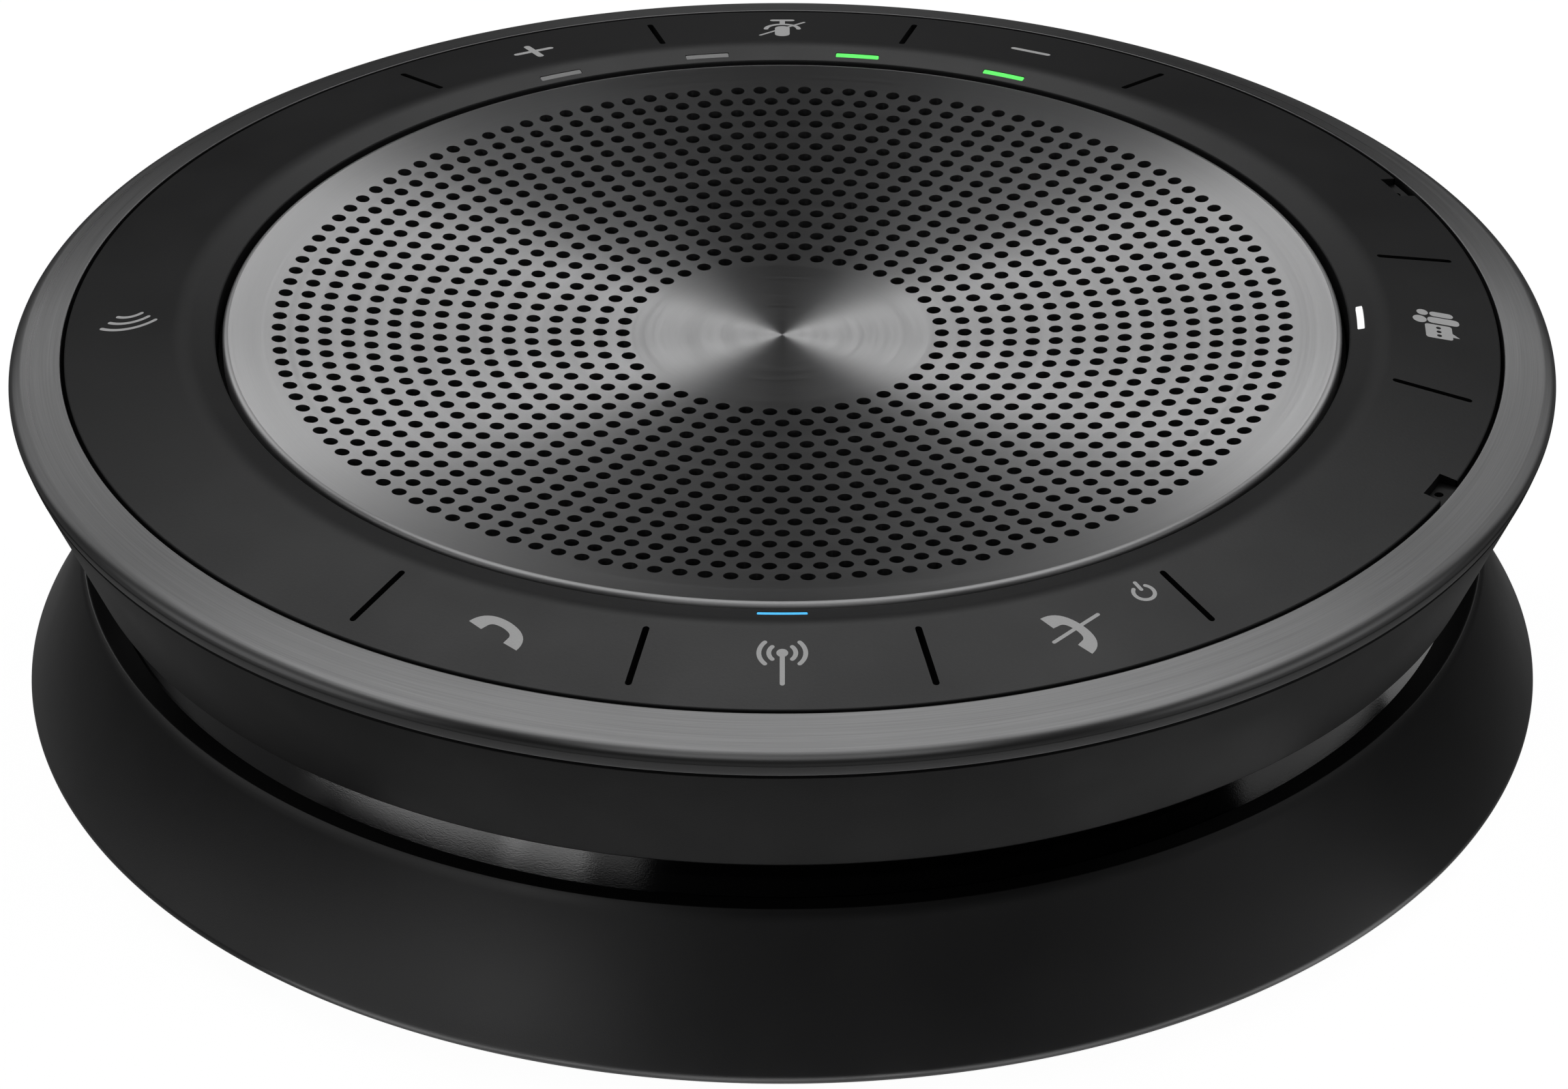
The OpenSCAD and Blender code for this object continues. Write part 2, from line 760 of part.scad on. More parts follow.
// Ribbon that joins the key board to the main board
module key_flex() {
    z0 = main_top + 1.5;
    color("orange") at(flex_r, flex_a) translate([0, 0, z0])
        block(flex_t, flex_w, key_board_z - z0);
}

module microphones() {
    color("silver") for (a = mic_angles) at(board_out_r - mic_w / 2, a)
        translate([0, 0, key_board_top]) block(mic_w, mic_l, mic_h);
}

// Rubber tube from each microphone to its port in the keypad
module microphone_boots() {
    z0 = key_board_top + mic_h;
    color("black") for (a = mic_angles) at(mic_port_at - 0.2, a) translate([0, 0, z0])
        difference() {
            cylinder(r = boot_r, h = keypad_low_z - z0, $fn = 32);
            translate([0.2, 0, -cut]) cylinder(r = mic_port_r, h = 4 * cut, $fn = 24);
        }
}

// ---------- speaker ----------

// Pressed basket with a flange, six windows and a ring that holds the magnet cup
module speaker_basket() {
    ring_top = basket_low_z + basket_ring_t;
    color("slategray") difference() {
        rotate_extrude() polygon([
            [cup_r + gap, basket_low_z], [basket_low_r, basket_low_z], [deck_in_r - 0.3, flange_z],
            [flange_r, flange_z], [flange_r, flange_z + flange_t],
            [flange_in_r, flange_z + flange_t], [flange_in_r, flange_z],
            [basket_low_r - basket_t, ring_top], [spider_out_r, spider_z - gap],
            [spider_seat_r, spider_z - gap], [spider_seat_r, ring_top], [cup_r + gap, ring_top]
        ]);
        for (i = [0 : 5])
            band(basket_low_r + 0.2, deck_in_r, ring_top + 1.6, deck_z - 0.6, i * 60, 36);
        around(4, speaker_screw_at, 45) translate([0, 0, flange_z - cut])
            cylinder(r = small_r + slack, h = 3 * cut, $fn = 32);
    }
}

// Steel cup that closes the magnetic circuit
module speaker_cup() {
    color("gray") rotate_extrude() polygon([
        [0, cup_z], [cup_r, cup_z], [cup_r, gap_top_z], [cup_in_r, gap_top_z],
        [cup_in_r, cup_z + cup_floor_t], [0, cup_z + cup_floor_t]
    ]);
}

module speaker_magnet() {
    color("dimgray") translate([0, 0, cup_z + cup_floor_t]) cylinder(r = magnet_r, h = magnet_h);
}

module pole_plate() {
    color("gray") translate([0, 0, cup_z + cup_floor_t + magnet_h])
        cylinder(r = pole_r, h = pole_t);
}

// Paper former with its winding
module voice_coil() {
    color("peru") union() {
        tube(coil_in_r, coil_in_r + former_t, coil_z, former_top_z);
        tube(coil_in_r + former_t - 0.02, coil_in_r + former_t + winding_t, coil_z, coil_z + winding_h);
    }
}

module speaker_cone() {
    neck_r = coil_in_r + former_t + gap;
    color([0.15, 0.15, 0.15]) rotate_extrude() polygon([
        [neck_r, cone_neck_z - cone_t], [cone_edge_r, cone_edge_z - cone_t],
        [cone_edge_r, cone_edge_z], [neck_r, cone_neck_z]
    ]);
}

// Half-roll surround between the cone's edge and the basket
module speaker_surround() {
    mid = (cone_edge_r + flange_in_r) / 2;
    color("black") rotate_extrude() polygon(concat(
        [[cone_edge_r + gap, cone_edge_z - roll_t]],
        [[mid - roll_r + roll_t, cone_edge_z - roll_t]],
        arc(mid, cone_edge_z, roll_r - roll_t, 180, 0, 8),
        [[mid + roll_r - roll_t, cone_edge_z - roll_t], [flange_in_r - gap, cone_edge_z - roll_t],
         [flange_in_r - gap, cone_edge_z]],
        arc(mid, cone_edge_z, roll_r, 0, 180, 8),
        [[cone_edge_r + gap, cone_edge_z]]
    ));
}

// Corrugated disc that centres the voice coil
module speaker_spider() {
    inner = coil_in_r + former_t + gap;
    waves = 5;
    steps = 20;
    wave = [for (i = [0 : steps]) let (u = i / steps)
        [inner + u * (spider_out_r - inner), spider_wave * sin(360 * waves * u) * sin(180 * u)]];
    color("tan") rotate_extrude() polygon(concat(
        [for (p = wave) [p[0], spider_z + p[1]]],
        reversed([for (p = wave) [p[0], spider_z + spider_t + p[1]]])
    ));
}

// Domed cap over the voice coil
module dust_cap() {
    rim = coil_in_r - gap;
    ball = (rim * rim + cap_rise * cap_rise) / (2 * cap_rise);
    half = asin(rim / ball);
    top = former_top_z - 0.6;
    t = 0.4;
    color([0.12, 0.12, 0.12]) rotate_extrude() polygon(concat(
        arc(0, top - ball + cap_rise, ball, 90 - half, 90, 6),
        arc(0, top - ball + cap_rise, ball - t, 90, 90 - half, 6)
    ));
}

module speaker_gasket() {
    color("black") tube(gasket_in_r, gasket_out_r, flange_z + flange_t, gasket_top_z);
}

module speaker_screws() {
    color("silver") around(4, speaker_screw_at, 45) translate([0, 0, flange_z + flange_t])
        screw(small_r, 4, small_head_r, small_head_h);
}

// ---------- electronics ----------

module main_board() {
    color("darkgreen") difference() {
        tube(main_in_r, main_out_r, main_z, main_top);
        around(4, standoff_at, 45) translate([0, 0, main_z - cut])
            cylinder(r = small_r + slack, h = 4 * cut, $fn = 32);
    }
}

module board_chips() {
    color([0.1, 0.1, 0.12]) {
        translate([26, -14, main_top]) block(9, 9, 1);
        translate([29, 10, main_top]) block(7, 7, 1);
        translate([-8, -31, main_top]) block(10, 6, 0.9);
        translate([-24, -22, main_top]) block(6, 5, 0.9);
    }
}

// Screening cans over the radio and the audio codec
module shield_cans() {
    wall = 0.3;
    color("silver") for (can = [[0, 31, 24, 12], [-27, 4, 13, 18]])
        translate([can[0], can[1], main_top]) difference() {
            block(can[2], can[3], 1.9);
            translate([0, 0, -wall]) block(can[2] - 2 * wall, can[3] - 2 * wall, 1.9);
        }
}

module board_capacitors() {
    color("navy") for (p = [[12, -33], [19, -31], [-20, 26]])
        translate([p[0], p[1], main_top]) cylinder(r = 2.5, h = 3.4, $fn = 32);
}

// Sockets for the cable, the ribbon and the battery
module board_connectors() {
    cable_socket_x = outer_end_r - entry_r - 0.05;
    color("ivory") {
        rotate([0, 0, outer_end_a]) translate([cable_socket_x - 5, -rise_r - 2.5, main_top])
            cube([5, 5, 3.8]);
        at(flex_r, flex_a) translate([-1, 0, main_top]) block(2.3, flex_w + 1, 1.5);
        translate([battery_lead_x, 0, main_top]) block(4, 5, 2);
    }
}

module board_screws() {
    color("silver") around(4, standoff_at, 45) translate([0, 0, main_top])
        screw(small_r, 3, small_head_r, small_head_h);
}

module battery() {
    color("lightsteelblue") translate([0, battery_at_y, battery_z])
        rounded_plate(battery_x, battery_y, battery_h, battery_round);
}

// Foam that the battery is bonded to
module battery_pad() {
    color("gray") translate([0, battery_at_y, z_skirt + floor_t])
        rounded_plate(battery_x - 6, battery_y - 6, pad_t, 2);
}

module battery_leads() {
    top = battery_z + battery_h;
    color("red") for (y = [-1.5, 1.5]) translate([battery_lead_x, y, top])
        cylinder(r = lead_r, h = main_z - top, $fn = 24);
}

module speaker_leads() {
    color("red") for (x = [-1.5, 1.5]) translate([x, -18, main_top])
        cylinder(r = lead_r, h = basket_low_z - main_top, $fn = 24);
}

// ---------- long screws ----------

// Body to drum, from above
module body_screws() {
    color("silver") around(6, chassis_screw_r, body_screw_a)
        translate([0, 0, z_body + shell_t - 0.3]) screw(screw_r, 6, head_r, head_h);
}

// Base plate to drum, from below, hidden by the foot ring
module base_screws() {
    color("silver") around(6, base_screw_r, 0)
        translate([0, 0, z_skirt + foot_seat + head_h]) mirror([0, 0, 1])
            screw(screw_r, 6, head_r, head_h - 0.05);
}

// Body to top frame, from below
module frame_screws() {
    color("silver") around(6, chassis_screw_r, frame_screw_a) translate([0, 0, z_body])
        mirror([0, 0, 1]) screw(screw_r, 6, head_r, head_h);
}

grille();
grille_cloth();
keypad_ring();
answer_key();
wireless_key();
end_key();
assistant_key();
volume_down_key();
mute_key();
volume_up_key();
rim_ring();
body_shell();
waist_drum();
base_skirt();
base_plate();
foot_ring();
cable();
cable_grommet();
plug_body();
plug_shell();
front_light_guide();
side_light_guide();
rear_lit_guides();
rear_unlit_guides();
status_leds();
key_board();
key_switches();
key_board_screws();
top_frame();
microphones();
microphone_boots();
speaker_basket();
speaker_cup();
speaker_magnet();
pole_plate();
voice_coil();
speaker_cone();
speaker_surround();
speaker_spider();
dust_cap();
speaker_gasket();
speaker_screws();
main_board();
board_chips();
shield_cans();
board_capacitors();
board_connectors();
board_screws();
battery();
battery_pad();
battery_leads();
speaker_leads();
key_flex();
body_screws();
base_screws();
frame_screws();
rating_label();
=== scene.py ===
"""Looks of a round table-top conference speakerphone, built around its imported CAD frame.

Lengths in the mesh code are in millimetres. Angles are in degrees, measured from the front (-Y),
positive towards the right (+X), as seen by a user who looks down at the unit.
"""

import json
import math

import bpy
import numpy as np
from mathutils import Euler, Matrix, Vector
from mathutils.geometry import delaunay_2d_cdt


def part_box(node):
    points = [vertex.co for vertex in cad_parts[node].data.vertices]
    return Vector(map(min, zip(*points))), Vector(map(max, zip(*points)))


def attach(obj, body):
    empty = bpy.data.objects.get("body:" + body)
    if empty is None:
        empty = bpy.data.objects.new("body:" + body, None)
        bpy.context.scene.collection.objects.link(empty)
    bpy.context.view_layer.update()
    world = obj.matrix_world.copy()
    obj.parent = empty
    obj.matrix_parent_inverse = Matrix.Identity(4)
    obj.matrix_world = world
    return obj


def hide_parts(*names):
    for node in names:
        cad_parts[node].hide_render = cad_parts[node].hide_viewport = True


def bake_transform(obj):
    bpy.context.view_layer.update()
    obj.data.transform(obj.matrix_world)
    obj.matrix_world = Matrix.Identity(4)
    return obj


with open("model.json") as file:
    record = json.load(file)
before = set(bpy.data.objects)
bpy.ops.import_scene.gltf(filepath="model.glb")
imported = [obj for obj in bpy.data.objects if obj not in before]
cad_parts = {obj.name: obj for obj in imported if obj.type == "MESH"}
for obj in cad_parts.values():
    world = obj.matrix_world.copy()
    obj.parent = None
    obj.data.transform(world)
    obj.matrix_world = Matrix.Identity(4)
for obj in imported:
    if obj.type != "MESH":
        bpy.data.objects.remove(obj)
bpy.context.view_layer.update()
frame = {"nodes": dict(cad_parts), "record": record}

MM = 0.001
TURN = 512                # segments round a turned piece
FULL = np.arange(720) * 0.5     # all round in steps of half a degree


def low(node):
    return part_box(node)[0].z / MM


def high(node):
    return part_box(node)[1].z / MM


def reach(node):
    """Outer radius of a turned node."""
    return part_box(node)[1].x / MM


def angle_of(node):
    """Angle of a node's middle from the front."""
    a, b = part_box(node)
    return math.degrees(math.atan2((a.x + b.x) / 2, -(a.y + b.y) / 2))


# ---------- sizes, from the frame ----------

RIM_TOP = high("rim_ring")
RIM_LOW = RIM_TOP - 2.82
RIM_R = reach("rim_ring")
RIM_IN_R = RIM_R - 4.05
BODY_LOW = low("body_shell")
BODY_TOP = high("body_shell")
BODY_LOW_R = RIM_R - 4.8
BODY_TOP_R = reach("body_shell")
WAIST_R = BODY_LOW_R - 1.95
SKIRT_LOW = low("base_skirt")
SKIRT_TOP = high("base_skirt")
SKIRT_R = reach("base_skirt")
LIP_R = BODY_LOW_R + 0.1
SKIRT_IN_R = SKIRT_R - 2.6
HEM_ROUND = 0.62          # rounding of the skirt's foot

# Keypad: an inner bevel, a rounded crest and an outer slope
PAD_IN_R = reach("grille") + 0.55
PAD_OUT_R = reach("keypad_ring")
PAD_LOW = low("keypad_ring")
CREST_R = 46.4
CREST_RISE = 1.65
BEVEL_DROP = 0.55
CREST_ROUND = 4.0
PAD_EDGE = 0.12           # rounding of the keypad's two edges
SKIN_T = 1.15             # depth of the slots

KEY_IN_R, KEY_OUT_R = 47.5, 53.8
KEY_MID_R = (KEY_IN_R + KEY_OUT_R) / 2
# radii of the points that shape the skin, close together over the crest
SKIN_RINGS = [44.35, 44.8, 45.2, 45.45, *np.arange(45.6, 47.3, 0.15),
              48.2, 48.9, 49.6, 51.5, 52.4, 53.1, 54.6]
SLOT_W = 0.5
SLOT_FRONT = (47.7, 53.85)
SLOT_REAR = (47.35, 53.45)
SIDE_SPAN = 24.0
FRONT_KEYS = ["answer_key", "wireless_key", "end_key"]
REAR_KEYS = ["volume_up_key", "mute_key", "volume_down_key"]
SIDE_KEY = "assistant_key"
FRONT_PITCH = angle_of("end_key") - angle_of("wireless_key")
REAR_PITCH = 180 - angle_of("volume_down_key")

WINDOW_R = (44.56, 45.04)
WINDOW_SPAN = 4.6
WINDOW_GAP = 0.05
WINDOW_SINK = 0.03
REAR_WINDOWS = (8.1, 24.4)     # from straight behind
MIC_ANGLES = (114.5, 62.7)
NOTCH_R = 54.15
NOTCH_SPAN = 3.4
NOTCH_FLOOR = RIM_TOP - 0.55
PORT_R, PORT_AT_R = 0.35, 54.75
PORT_SIDES = 20

# Grille: rings of sound holes in a shallow dish, six more holes in each ring
GRILLE_R = reach("grille")
DISH_LOW = RIM_TOP - 0.92
DISH_RISE, DISH_REF_R = 1.781, 40.0
GRILLE_T = 0.6
HOLE_R = 0.565
HOLE_SIDES = 16
HOLE_PITCH = 1.7734
FIRST_RING, LAST_RING = 7, 22
EDGE_ROUND = 0.45
DISC_R = 11.4             # the plain middle
HOLES_OUT_R = 40.4


# ---------- mesh code ----------

class Skin:
    """Gathers vertices with their normals, faces and material numbers."""

    def __init__(self):
        self.points, self.normals, self.faces, self.marks = [], [], [], []
        self.count = 0

    def add(self, points, normals, faces, mark=0):
        self.points.append(np.asarray(points, float))
        self.normals.append(np.asarray(normals, float))
        self.faces += [tuple(i + self.count for i in f) for f in faces]
        self.marks += list(mark) if np.ndim(mark) else [mark] * len(faces)
        self.count += len(points)

    def piece(self, name, materials, slot=None, body=None, replaces=()):
        mesh = bpy.data.meshes.new(name)
        mesh.from_pydata((np.vstack(self.points) * MM).tolist(), [], self.faces)
        mesh.polygons.foreach_set("material_index", self.marks)
        mesh.polygons.foreach_set("use_smooth", [True] * len(self.faces))
        normals = np.vstack(self.normals)
        normals /= np.linalg.norm(normals, axis=1)[:, None]
        mesh.normals_split_custom_set_from_vertices(normals.tolist())
        mesh.update()
        for material in materials:
            mesh.materials.append(material)
        obj = bpy.data.objects.new(name, mesh)
        bpy.context.scene.collection.objects.link(obj)
        if body:
            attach(obj, body)
        if replaces:
            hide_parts(*replaces)
        return obj


def around(a):
    """Unit vector at angle a from the front."""
    t = np.radians(a)
    return np.stack([np.sin(t), -np.cos(t)], axis=-1)


def bezier(p0, p1, p2, n):
    t = np.linspace(0, 1, n + 1)[:, None]
    return list((1 - t) ** 2 * np.array(p0) + 2 * t * (1 - t) * np.array(p1) + t ** 2 * np.array(p2))


def soften(points, radius, steps=4):
    """The line with its inner corners rounded off."""
    out = [np.array(points[0], float)]
    for before, corner, after in zip(points, points[1:], points[2:]):
        c = np.array(corner, float)
        a, b = np.array(before) - c, np.array(after) - c
        bend = abs(a[0] * b[1] - a[1] * b[0]) / (np.linalg.norm(a) * np.linalg.norm(b))
        cut = min(radius, 0.45 * np.linalg.norm(a), 0.45 * np.linalg.norm(b))
        if bend < 0.08:
            out.append(c)
            continue
        out += bezier(c + a / np.linalg.norm(a) * cut, c, c + b / np.linalg.norm(b) * cut, steps)
    return out + [np.array(points[-1], float)]


def line_normals(profile):
    """Normals of a section that runs outwards over the top and then down the outside."""
    p = np.array(profile)
    d = np.diff(p, axis=0)
    side = np.stack([-d[:, 1], d[:, 0]], axis=1)      # as long as its segment, so that flats stay flat
    n = np.zeros_like(p)
    n[:-1] += side
    n[1:] += side
    return n / np.linalg.norm(n, axis=1)[:, None]


def lathe(skin, profile, mark=0, angles=None):
    """Turns a section round the axis, over all angles or along a list of them."""
    closed = angles is None
    a = np.arange(TURN) * 360 / TURN if closed else np.array(angles)
    p = np.array(profile)
    m = len(a)

    def spun(section):
        flat = section[:, None, :1] * around(a)
        return np.concatenate([flat, np.broadcast_to(section[:, None, 1:], (len(p), m, 1))], axis=2)

    faces = []
    for i in range(len(p) - 1):
        for j in range(m if closed else m - 1):
            k = (j + 1) % m
            if p[i][0] < 1e-6:
                faces.append((i * m, (i + 1) * m + j, (i + 1) * m + k))
            else:
                faces.append((i * m + j, (i + 1) * m + j, (i + 1) * m + k, i * m + k))
    skin.add(spun(p).reshape(-1, 3), spun(line_normals(profile)).reshape(-1, 3), faces, mark)


def turned(name, profile, looks, look, replaces, slot=None):
    """A turned piece of the housing, in its own material."""
    skin = Skin()
    lathe(skin, profile)
    return skin.piece(name, [looks[look]], slot or look, "housing", replaces)


def triangulate(loops, points):
    """Triangles over closed outlines and loose points in the plane, with every outline kept as edges."""
    verts, edges = [], []
    for loop in loops:
        first = len(verts)
        verts += [tuple(p) for p in loop]
        edges += [(first + i, first + (i + 1) % len(loop)) for i in range(len(loop))]
    verts += [tuple(p) for p in points]
    result = delaunay_2d_cdt([Vector(v) for v in verts], edges, [], 0, 1e-7)
    return np.array([tuple(v) for v in result[0]]), np.array(result[2])


def counter_clockwise(xy, faces):
    a, b, c = xy[faces[:, 0]], xy[faces[:, 1]], xy[faces[:, 2]]
    turn = (b[:, 0] - a[:, 0]) * (c[:, 1] - a[:, 1]) - (b[:, 1] - a[:, 1]) * (c[:, 0] - a[:, 0])
    faces[turn < 0] = faces[turn < 0][:, ::-1]
    return faces


def circle(cx, cy, r, n):
    t = np.arange(n) * 2 * math.pi / n
    return np.stack([cx + r * np.cos(t), cy + r * np.sin(t)], axis=1)


def inside(loop, xy):
    """Which points lie inside a closed outline."""
    result = np.zeros(len(xy), bool)
    near = np.all((xy > loop.min(0)) & (xy < loop.max(0)), axis=1)
    x, y = xy[near].T
    hit = np.zeros(len(x), bool)
    for (x0, y0), (x1, y1) in zip(loop, np.roll(loop, -1, axis=0)):
        crosses = (y0 > y) != (y1 > y)
        at = (x1 - x0) * (y - y0) / (y1 - y0 if y1 != y0 else 1e-12) + x0
        hit ^= crosses & (x < at)
    result[near] = hit
    return result


def lift(xy, height):
    """Puts plane points on a turned surface and gives its normals there."""
    r = np.linalg.norm(xy, axis=1)
    step = 0.01
    slope = (height(r + step) - height(r - step)) / (2 * step)
    points = np.column_stack([xy, height(r)])
    normals = np.column_stack([-slope[:, None] * xy / r[:, None], np.ones(len(r))])
    return points, normals


def drop_walls(skin, tops, depth, mark=0):
    """Walls hanging from edges of a surface. Each edge has the surface on its left."""
    down = np.array([0, 0, depth])
    for a, b in tops:
        side = np.array([b[1] - a[1], a[0] - b[0], 0.0])
        if side.any():
            skin.add([a, b, b - down, a - down], [side] * 4, [(0, 3, 2, 1)], mark)


# ---------- node helpers for materials ----------

def new_material(name):
    material = bpy.data.materials.new(name)
    material.use_nodes = True
    return material, material.node_tree, material.node_tree.nodes["Principled BSDF"]


def plug(tree, socket, value):
    if isinstance(value, bpy.types.NodeSocket):
        tree.links.new(value, socket)
    elif isinstance(value, (int, float)) and hasattr(socket.default_value, "__len__"):
        socket.default_value = [value] * 3 + [1] * (len(socket.default_value) - 3)
    else:
        socket.default_value = value


def calc(tree, operation, a, b=0.0):
    node = tree.nodes.new("ShaderNodeMath")
    node.operation = operation
    for socket, value in zip(node.inputs, (a, b)):
        plug(tree, socket, value)
    return node.outputs[0]


def vector(tree, operation, a, b=(0, 0, 0), scale=None):
    node = tree.nodes.new("ShaderNodeVectorMath")
    node.operation = operation
    plug(tree, node.inputs[0], a)
    plug(tree, node.inputs[1], b)
    if scale is not None:
        plug(tree, node.inputs["Scale"], scale)
    return node.outputs["Value"] if operation == "LENGTH" else node.outputs["Vector"]


def split(tree, v):
    node = tree.nodes.new("ShaderNodeSeparateXYZ")
    tree.links.new(v, node.inputs[0])
    return node.outputs


def join(tree, x, y, z):
    node = tree.nodes.new("ShaderNodeCombineXYZ")
    for socket, value in zip(node.inputs, (x, y, z)):
        plug(tree, socket, value)
    return node.outputs[0]


def place_mm(tree):
    """Place on the object in millimetres."""
    node = tree.nodes.new("ShaderNodeTexCoord")
    return vector(tree, "SCALE", node.outputs["Object"], scale=1 / MM)


def noise(tree, place, scale, detail=3.0, rough=0.55):
    node = tree.nodes.new("ShaderNodeTexNoise")
    plug(tree, node.inputs["Vector"], place)
    node.inputs["Scale"].default_value = scale
    node.inputs["Detail"].default_value = detail
    node.inputs["Roughness"].default_value = rough
    return node.outputs["Fac"]


def spread(tree, value, low_in, high_in, low_out, high_out, smooth=False):
    node = tree.nodes.new("ShaderNodeMapRange")
    if smooth:
        node.interpolation_type = "SMOOTHSTEP"
    for socket, v in zip(node.inputs, (value, low_in, high_in, low_out, high_out)):
        plug(tree, socket, v)
    return node.outputs["Result"]


def blend_colours(tree, amount, a, b):
    node = tree.nodes.new("ShaderNodeMix")
    node.data_type = "RGBA"
    plug(tree, node.inputs[0], amount)
    plug(tree, node.inputs[6], (*a, 1))
    plug(tree, node.inputs[7], (*b, 1))
    return node.outputs[2]


def bump(tree, height, depth_mm):
    node = tree.nodes.new("ShaderNodeBump")
    node.inputs["Distance"].default_value = depth_mm * MM
    plug(tree, node.inputs["Height"], height)
    return node.outputs["Normal"]


def times(tree, factor, colour):
    """A colour made lighter or darker."""
    return join(tree, *[calc(tree, "MULTIPLY", factor, c) for c in colour])


def finish_surface(tree, shader, colour, rough, normal, metallic=0.0):
    plug(tree, shader.inputs["Base Color"], colour)
    plug(tree, shader.inputs["Roughness"], rough)
    plug(tree, shader.inputs["Normal"], normal)
    shader.inputs["Metallic"].default_value = metallic


# ---------- materials ----------

def brushed_metal(name, tone, rough, aniso, streak):
    """Metal brushed round the axis: fine concentric scratches that stretch a highlight outwards."""
    material, tree, shader = new_material(name)
    place = place_mm(tree)
    x, y, z = split(tree, place)
    flat = join(tree, x, y, 0.0)
    r = vector(tree, "LENGTH", flat)
    out = vector(tree, "NORMALIZE", flat)
    ox, oy, _ = split(tree, out)
    scratch = join(tree, calc(tree, "MULTIPLY", calc(tree, "ADD", r, z), 13.0),
                   calc(tree, "MULTIPLY", ox, 3.0), calc(tree, "MULTIPLY", oy, 3.0))
    fine = noise(tree, scratch, 1.0, 5.0, 0.7)
    wide = noise(tree, vector(tree, "SCALE", scratch, scale=0.17), 1.0, 2.0)
    cloud = noise(tree, place, 0.05, 2.0)
    tint = calc(tree, "ADD", spread(tree, fine, 0.3, 0.7, -streak, streak),
                spread(tree, cloud, 0.3, 0.7, -streak / 3, streak / 3))
    shade = calc(tree, "MULTIPLY", calc(tree, "ADD", tint, 1.0), tone)
    colour = times(tree, shade, (1.0, 1.0, 1.01))
    uneven = calc(tree, "ADD", spread(tree, wide, 0.3, 0.7, -0.03, 0.03), rough)
    shader.inputs["Anisotropic"].default_value = aniso
    plug(tree, shader.inputs["Tangent"], out)
    finish_surface(tree, shader, colour, uneven, bump(tree, fine, 0.001), 1.0)
    return material


def moulded(name, colour, rough, grain, depth, mottle=0.12):
    """Plastic or rubber with a fine moulded or sprayed grain and slightly uneven tone and gloss."""
    material, tree, shader = new_material(name)
    place = place_mm(tree)
    grains = noise(tree, place, 1 / grain, 2.0, 0.6)
    patches = noise(tree, place, 0.09, 3.0, 0.6)
    tone = calc(tree, "ADD", spread(tree, grains, 0.25, 0.75, -mottle, mottle),
                spread(tree, patches, 0.3, 0.7, -mottle / 2, mottle / 2))
    mottled = times(tree, calc(tree, "ADD", tone, 1.0), colour)
    uneven = calc(tree, "ADD", spread(tree, patches, 0.3, 0.7, -0.03, 0.03), rough)
    finish_surface(tree, shader, mottled, uneven, bump(tree, grains, depth))
    return material


def glowing_printed_ink(name):
    """Pale translucent ink with a faint painted glow that lightens it."""
    material = moulded(name, (0.6, 0.6, 0.6), 0.5, 0.15, 0.003, 0.04)
    shader = material.node_tree.nodes["Principled BSDF"]
    # painted glow: the ink gives off a little light of its own, which makes it look lighter
    shader.inputs["Emission Color"].default_value = (1, 1, 1, 1)
    shader.inputs["Emission Strength"].default_value = 0.14
    return material


def lit_window(name, colour, strength):
    """Diffusing light window with a faint grain."""
    material, tree, shader = new_material(name)
    place = place_mm(tree)
    grain = noise(tree, place, 6.0, 2.0)
    level = calc(tree, "MULTIPLY", spread(tree, grain, 0.3, 0.7, 0.93, 1.07), strength)
    body = times(tree, spread(tree, grain, 0.3, 0.7, 0.9, 1.1), [0.25 * c for c in colour])
    shader.inputs["Emission Color"].default_value = (*colour, 1)
    plug(tree, shader.inputs["Emission Strength"], level)
    finish_surface(tree, shader, body, 0.35, bump(tree, grain, 0.004))
    return material


def plain_metal(name, colour, rough):
    """Drawn or plated metal with faint scratches and stains."""
    material, tree, shader = new_material(name)
    place = place_mm(tree)
    marks = noise(tree, vector(tree, "MULTIPLY", place, (0.4, 3.0, 1.2)), 2.0, 4.0, 0.65)
    stains = noise(tree, place, 0.2, 3.0)
    tone = spread(tree, stains, 0.3, 0.7, 0.85, 1.1)
    uneven = spread(tree, marks, 0.3, 0.7, rough - 0.08, rough + 0.12)
    finish_surface(tree, shader, times(tree, tone, colour), uneven, bump(tree, marks, 0.004), 1.0)
    return material


def woven(name, colour, pitch=0.35, depth=0.05):
    """Cloth of crossing threads."""
    material, tree, shader = new_material(name)
    place = place_mm(tree)
    x, y, _ = split(tree, place)
    turn = 2 * math.pi / pitch
    warp = calc(tree, "SINE", calc(tree, "MULTIPLY", x, turn))
    weft = calc(tree, "SINE", calc(tree, "MULTIPLY", y, turn))
    cross = spread(tree, calc(tree, "MULTIPLY", warp, weft), -1.0, 1.0, 0.0, 1.0)
    fibre = noise(tree, place, 9.0, 3.0)
    height = calc(tree, "ADD", cross, calc(tree, "MULTIPLY", fibre, 0.4))
    tone = spread(tree, height, 0.2, 1.2, 0.7, 1.25)
    finish_surface(tree, shader, times(tree, tone, colour), 0.9, bump(tree, height, depth))
    return material


def board(name):
    """Circuit board: solder mask over a faint pattern of copper tracks."""
    material, tree, shader = new_material(name)
    place = place_mm(tree)
    cells = tree.nodes.new("ShaderNodeTexVoronoi")
    cells.distance = "MANHATTAN"
    plug(tree, cells.inputs["Vector"], place)
    cells.inputs["Scale"].default_value = 0.6
    tracks = spread(tree, calc(tree, "FRACT", calc(tree, "MULTIPLY", cells.outputs["Distance"], 4.0)),
                    0.45, 0.55, 0.0, 1.0, True)
    colour = blend_colours(tree, tracks, (0.004, 0.05, 0.018), (0.012, 0.10, 0.035))
    finish_surface(tree, shader, colour, 0.35, bump(tree, tracks, 0.02))
    return material


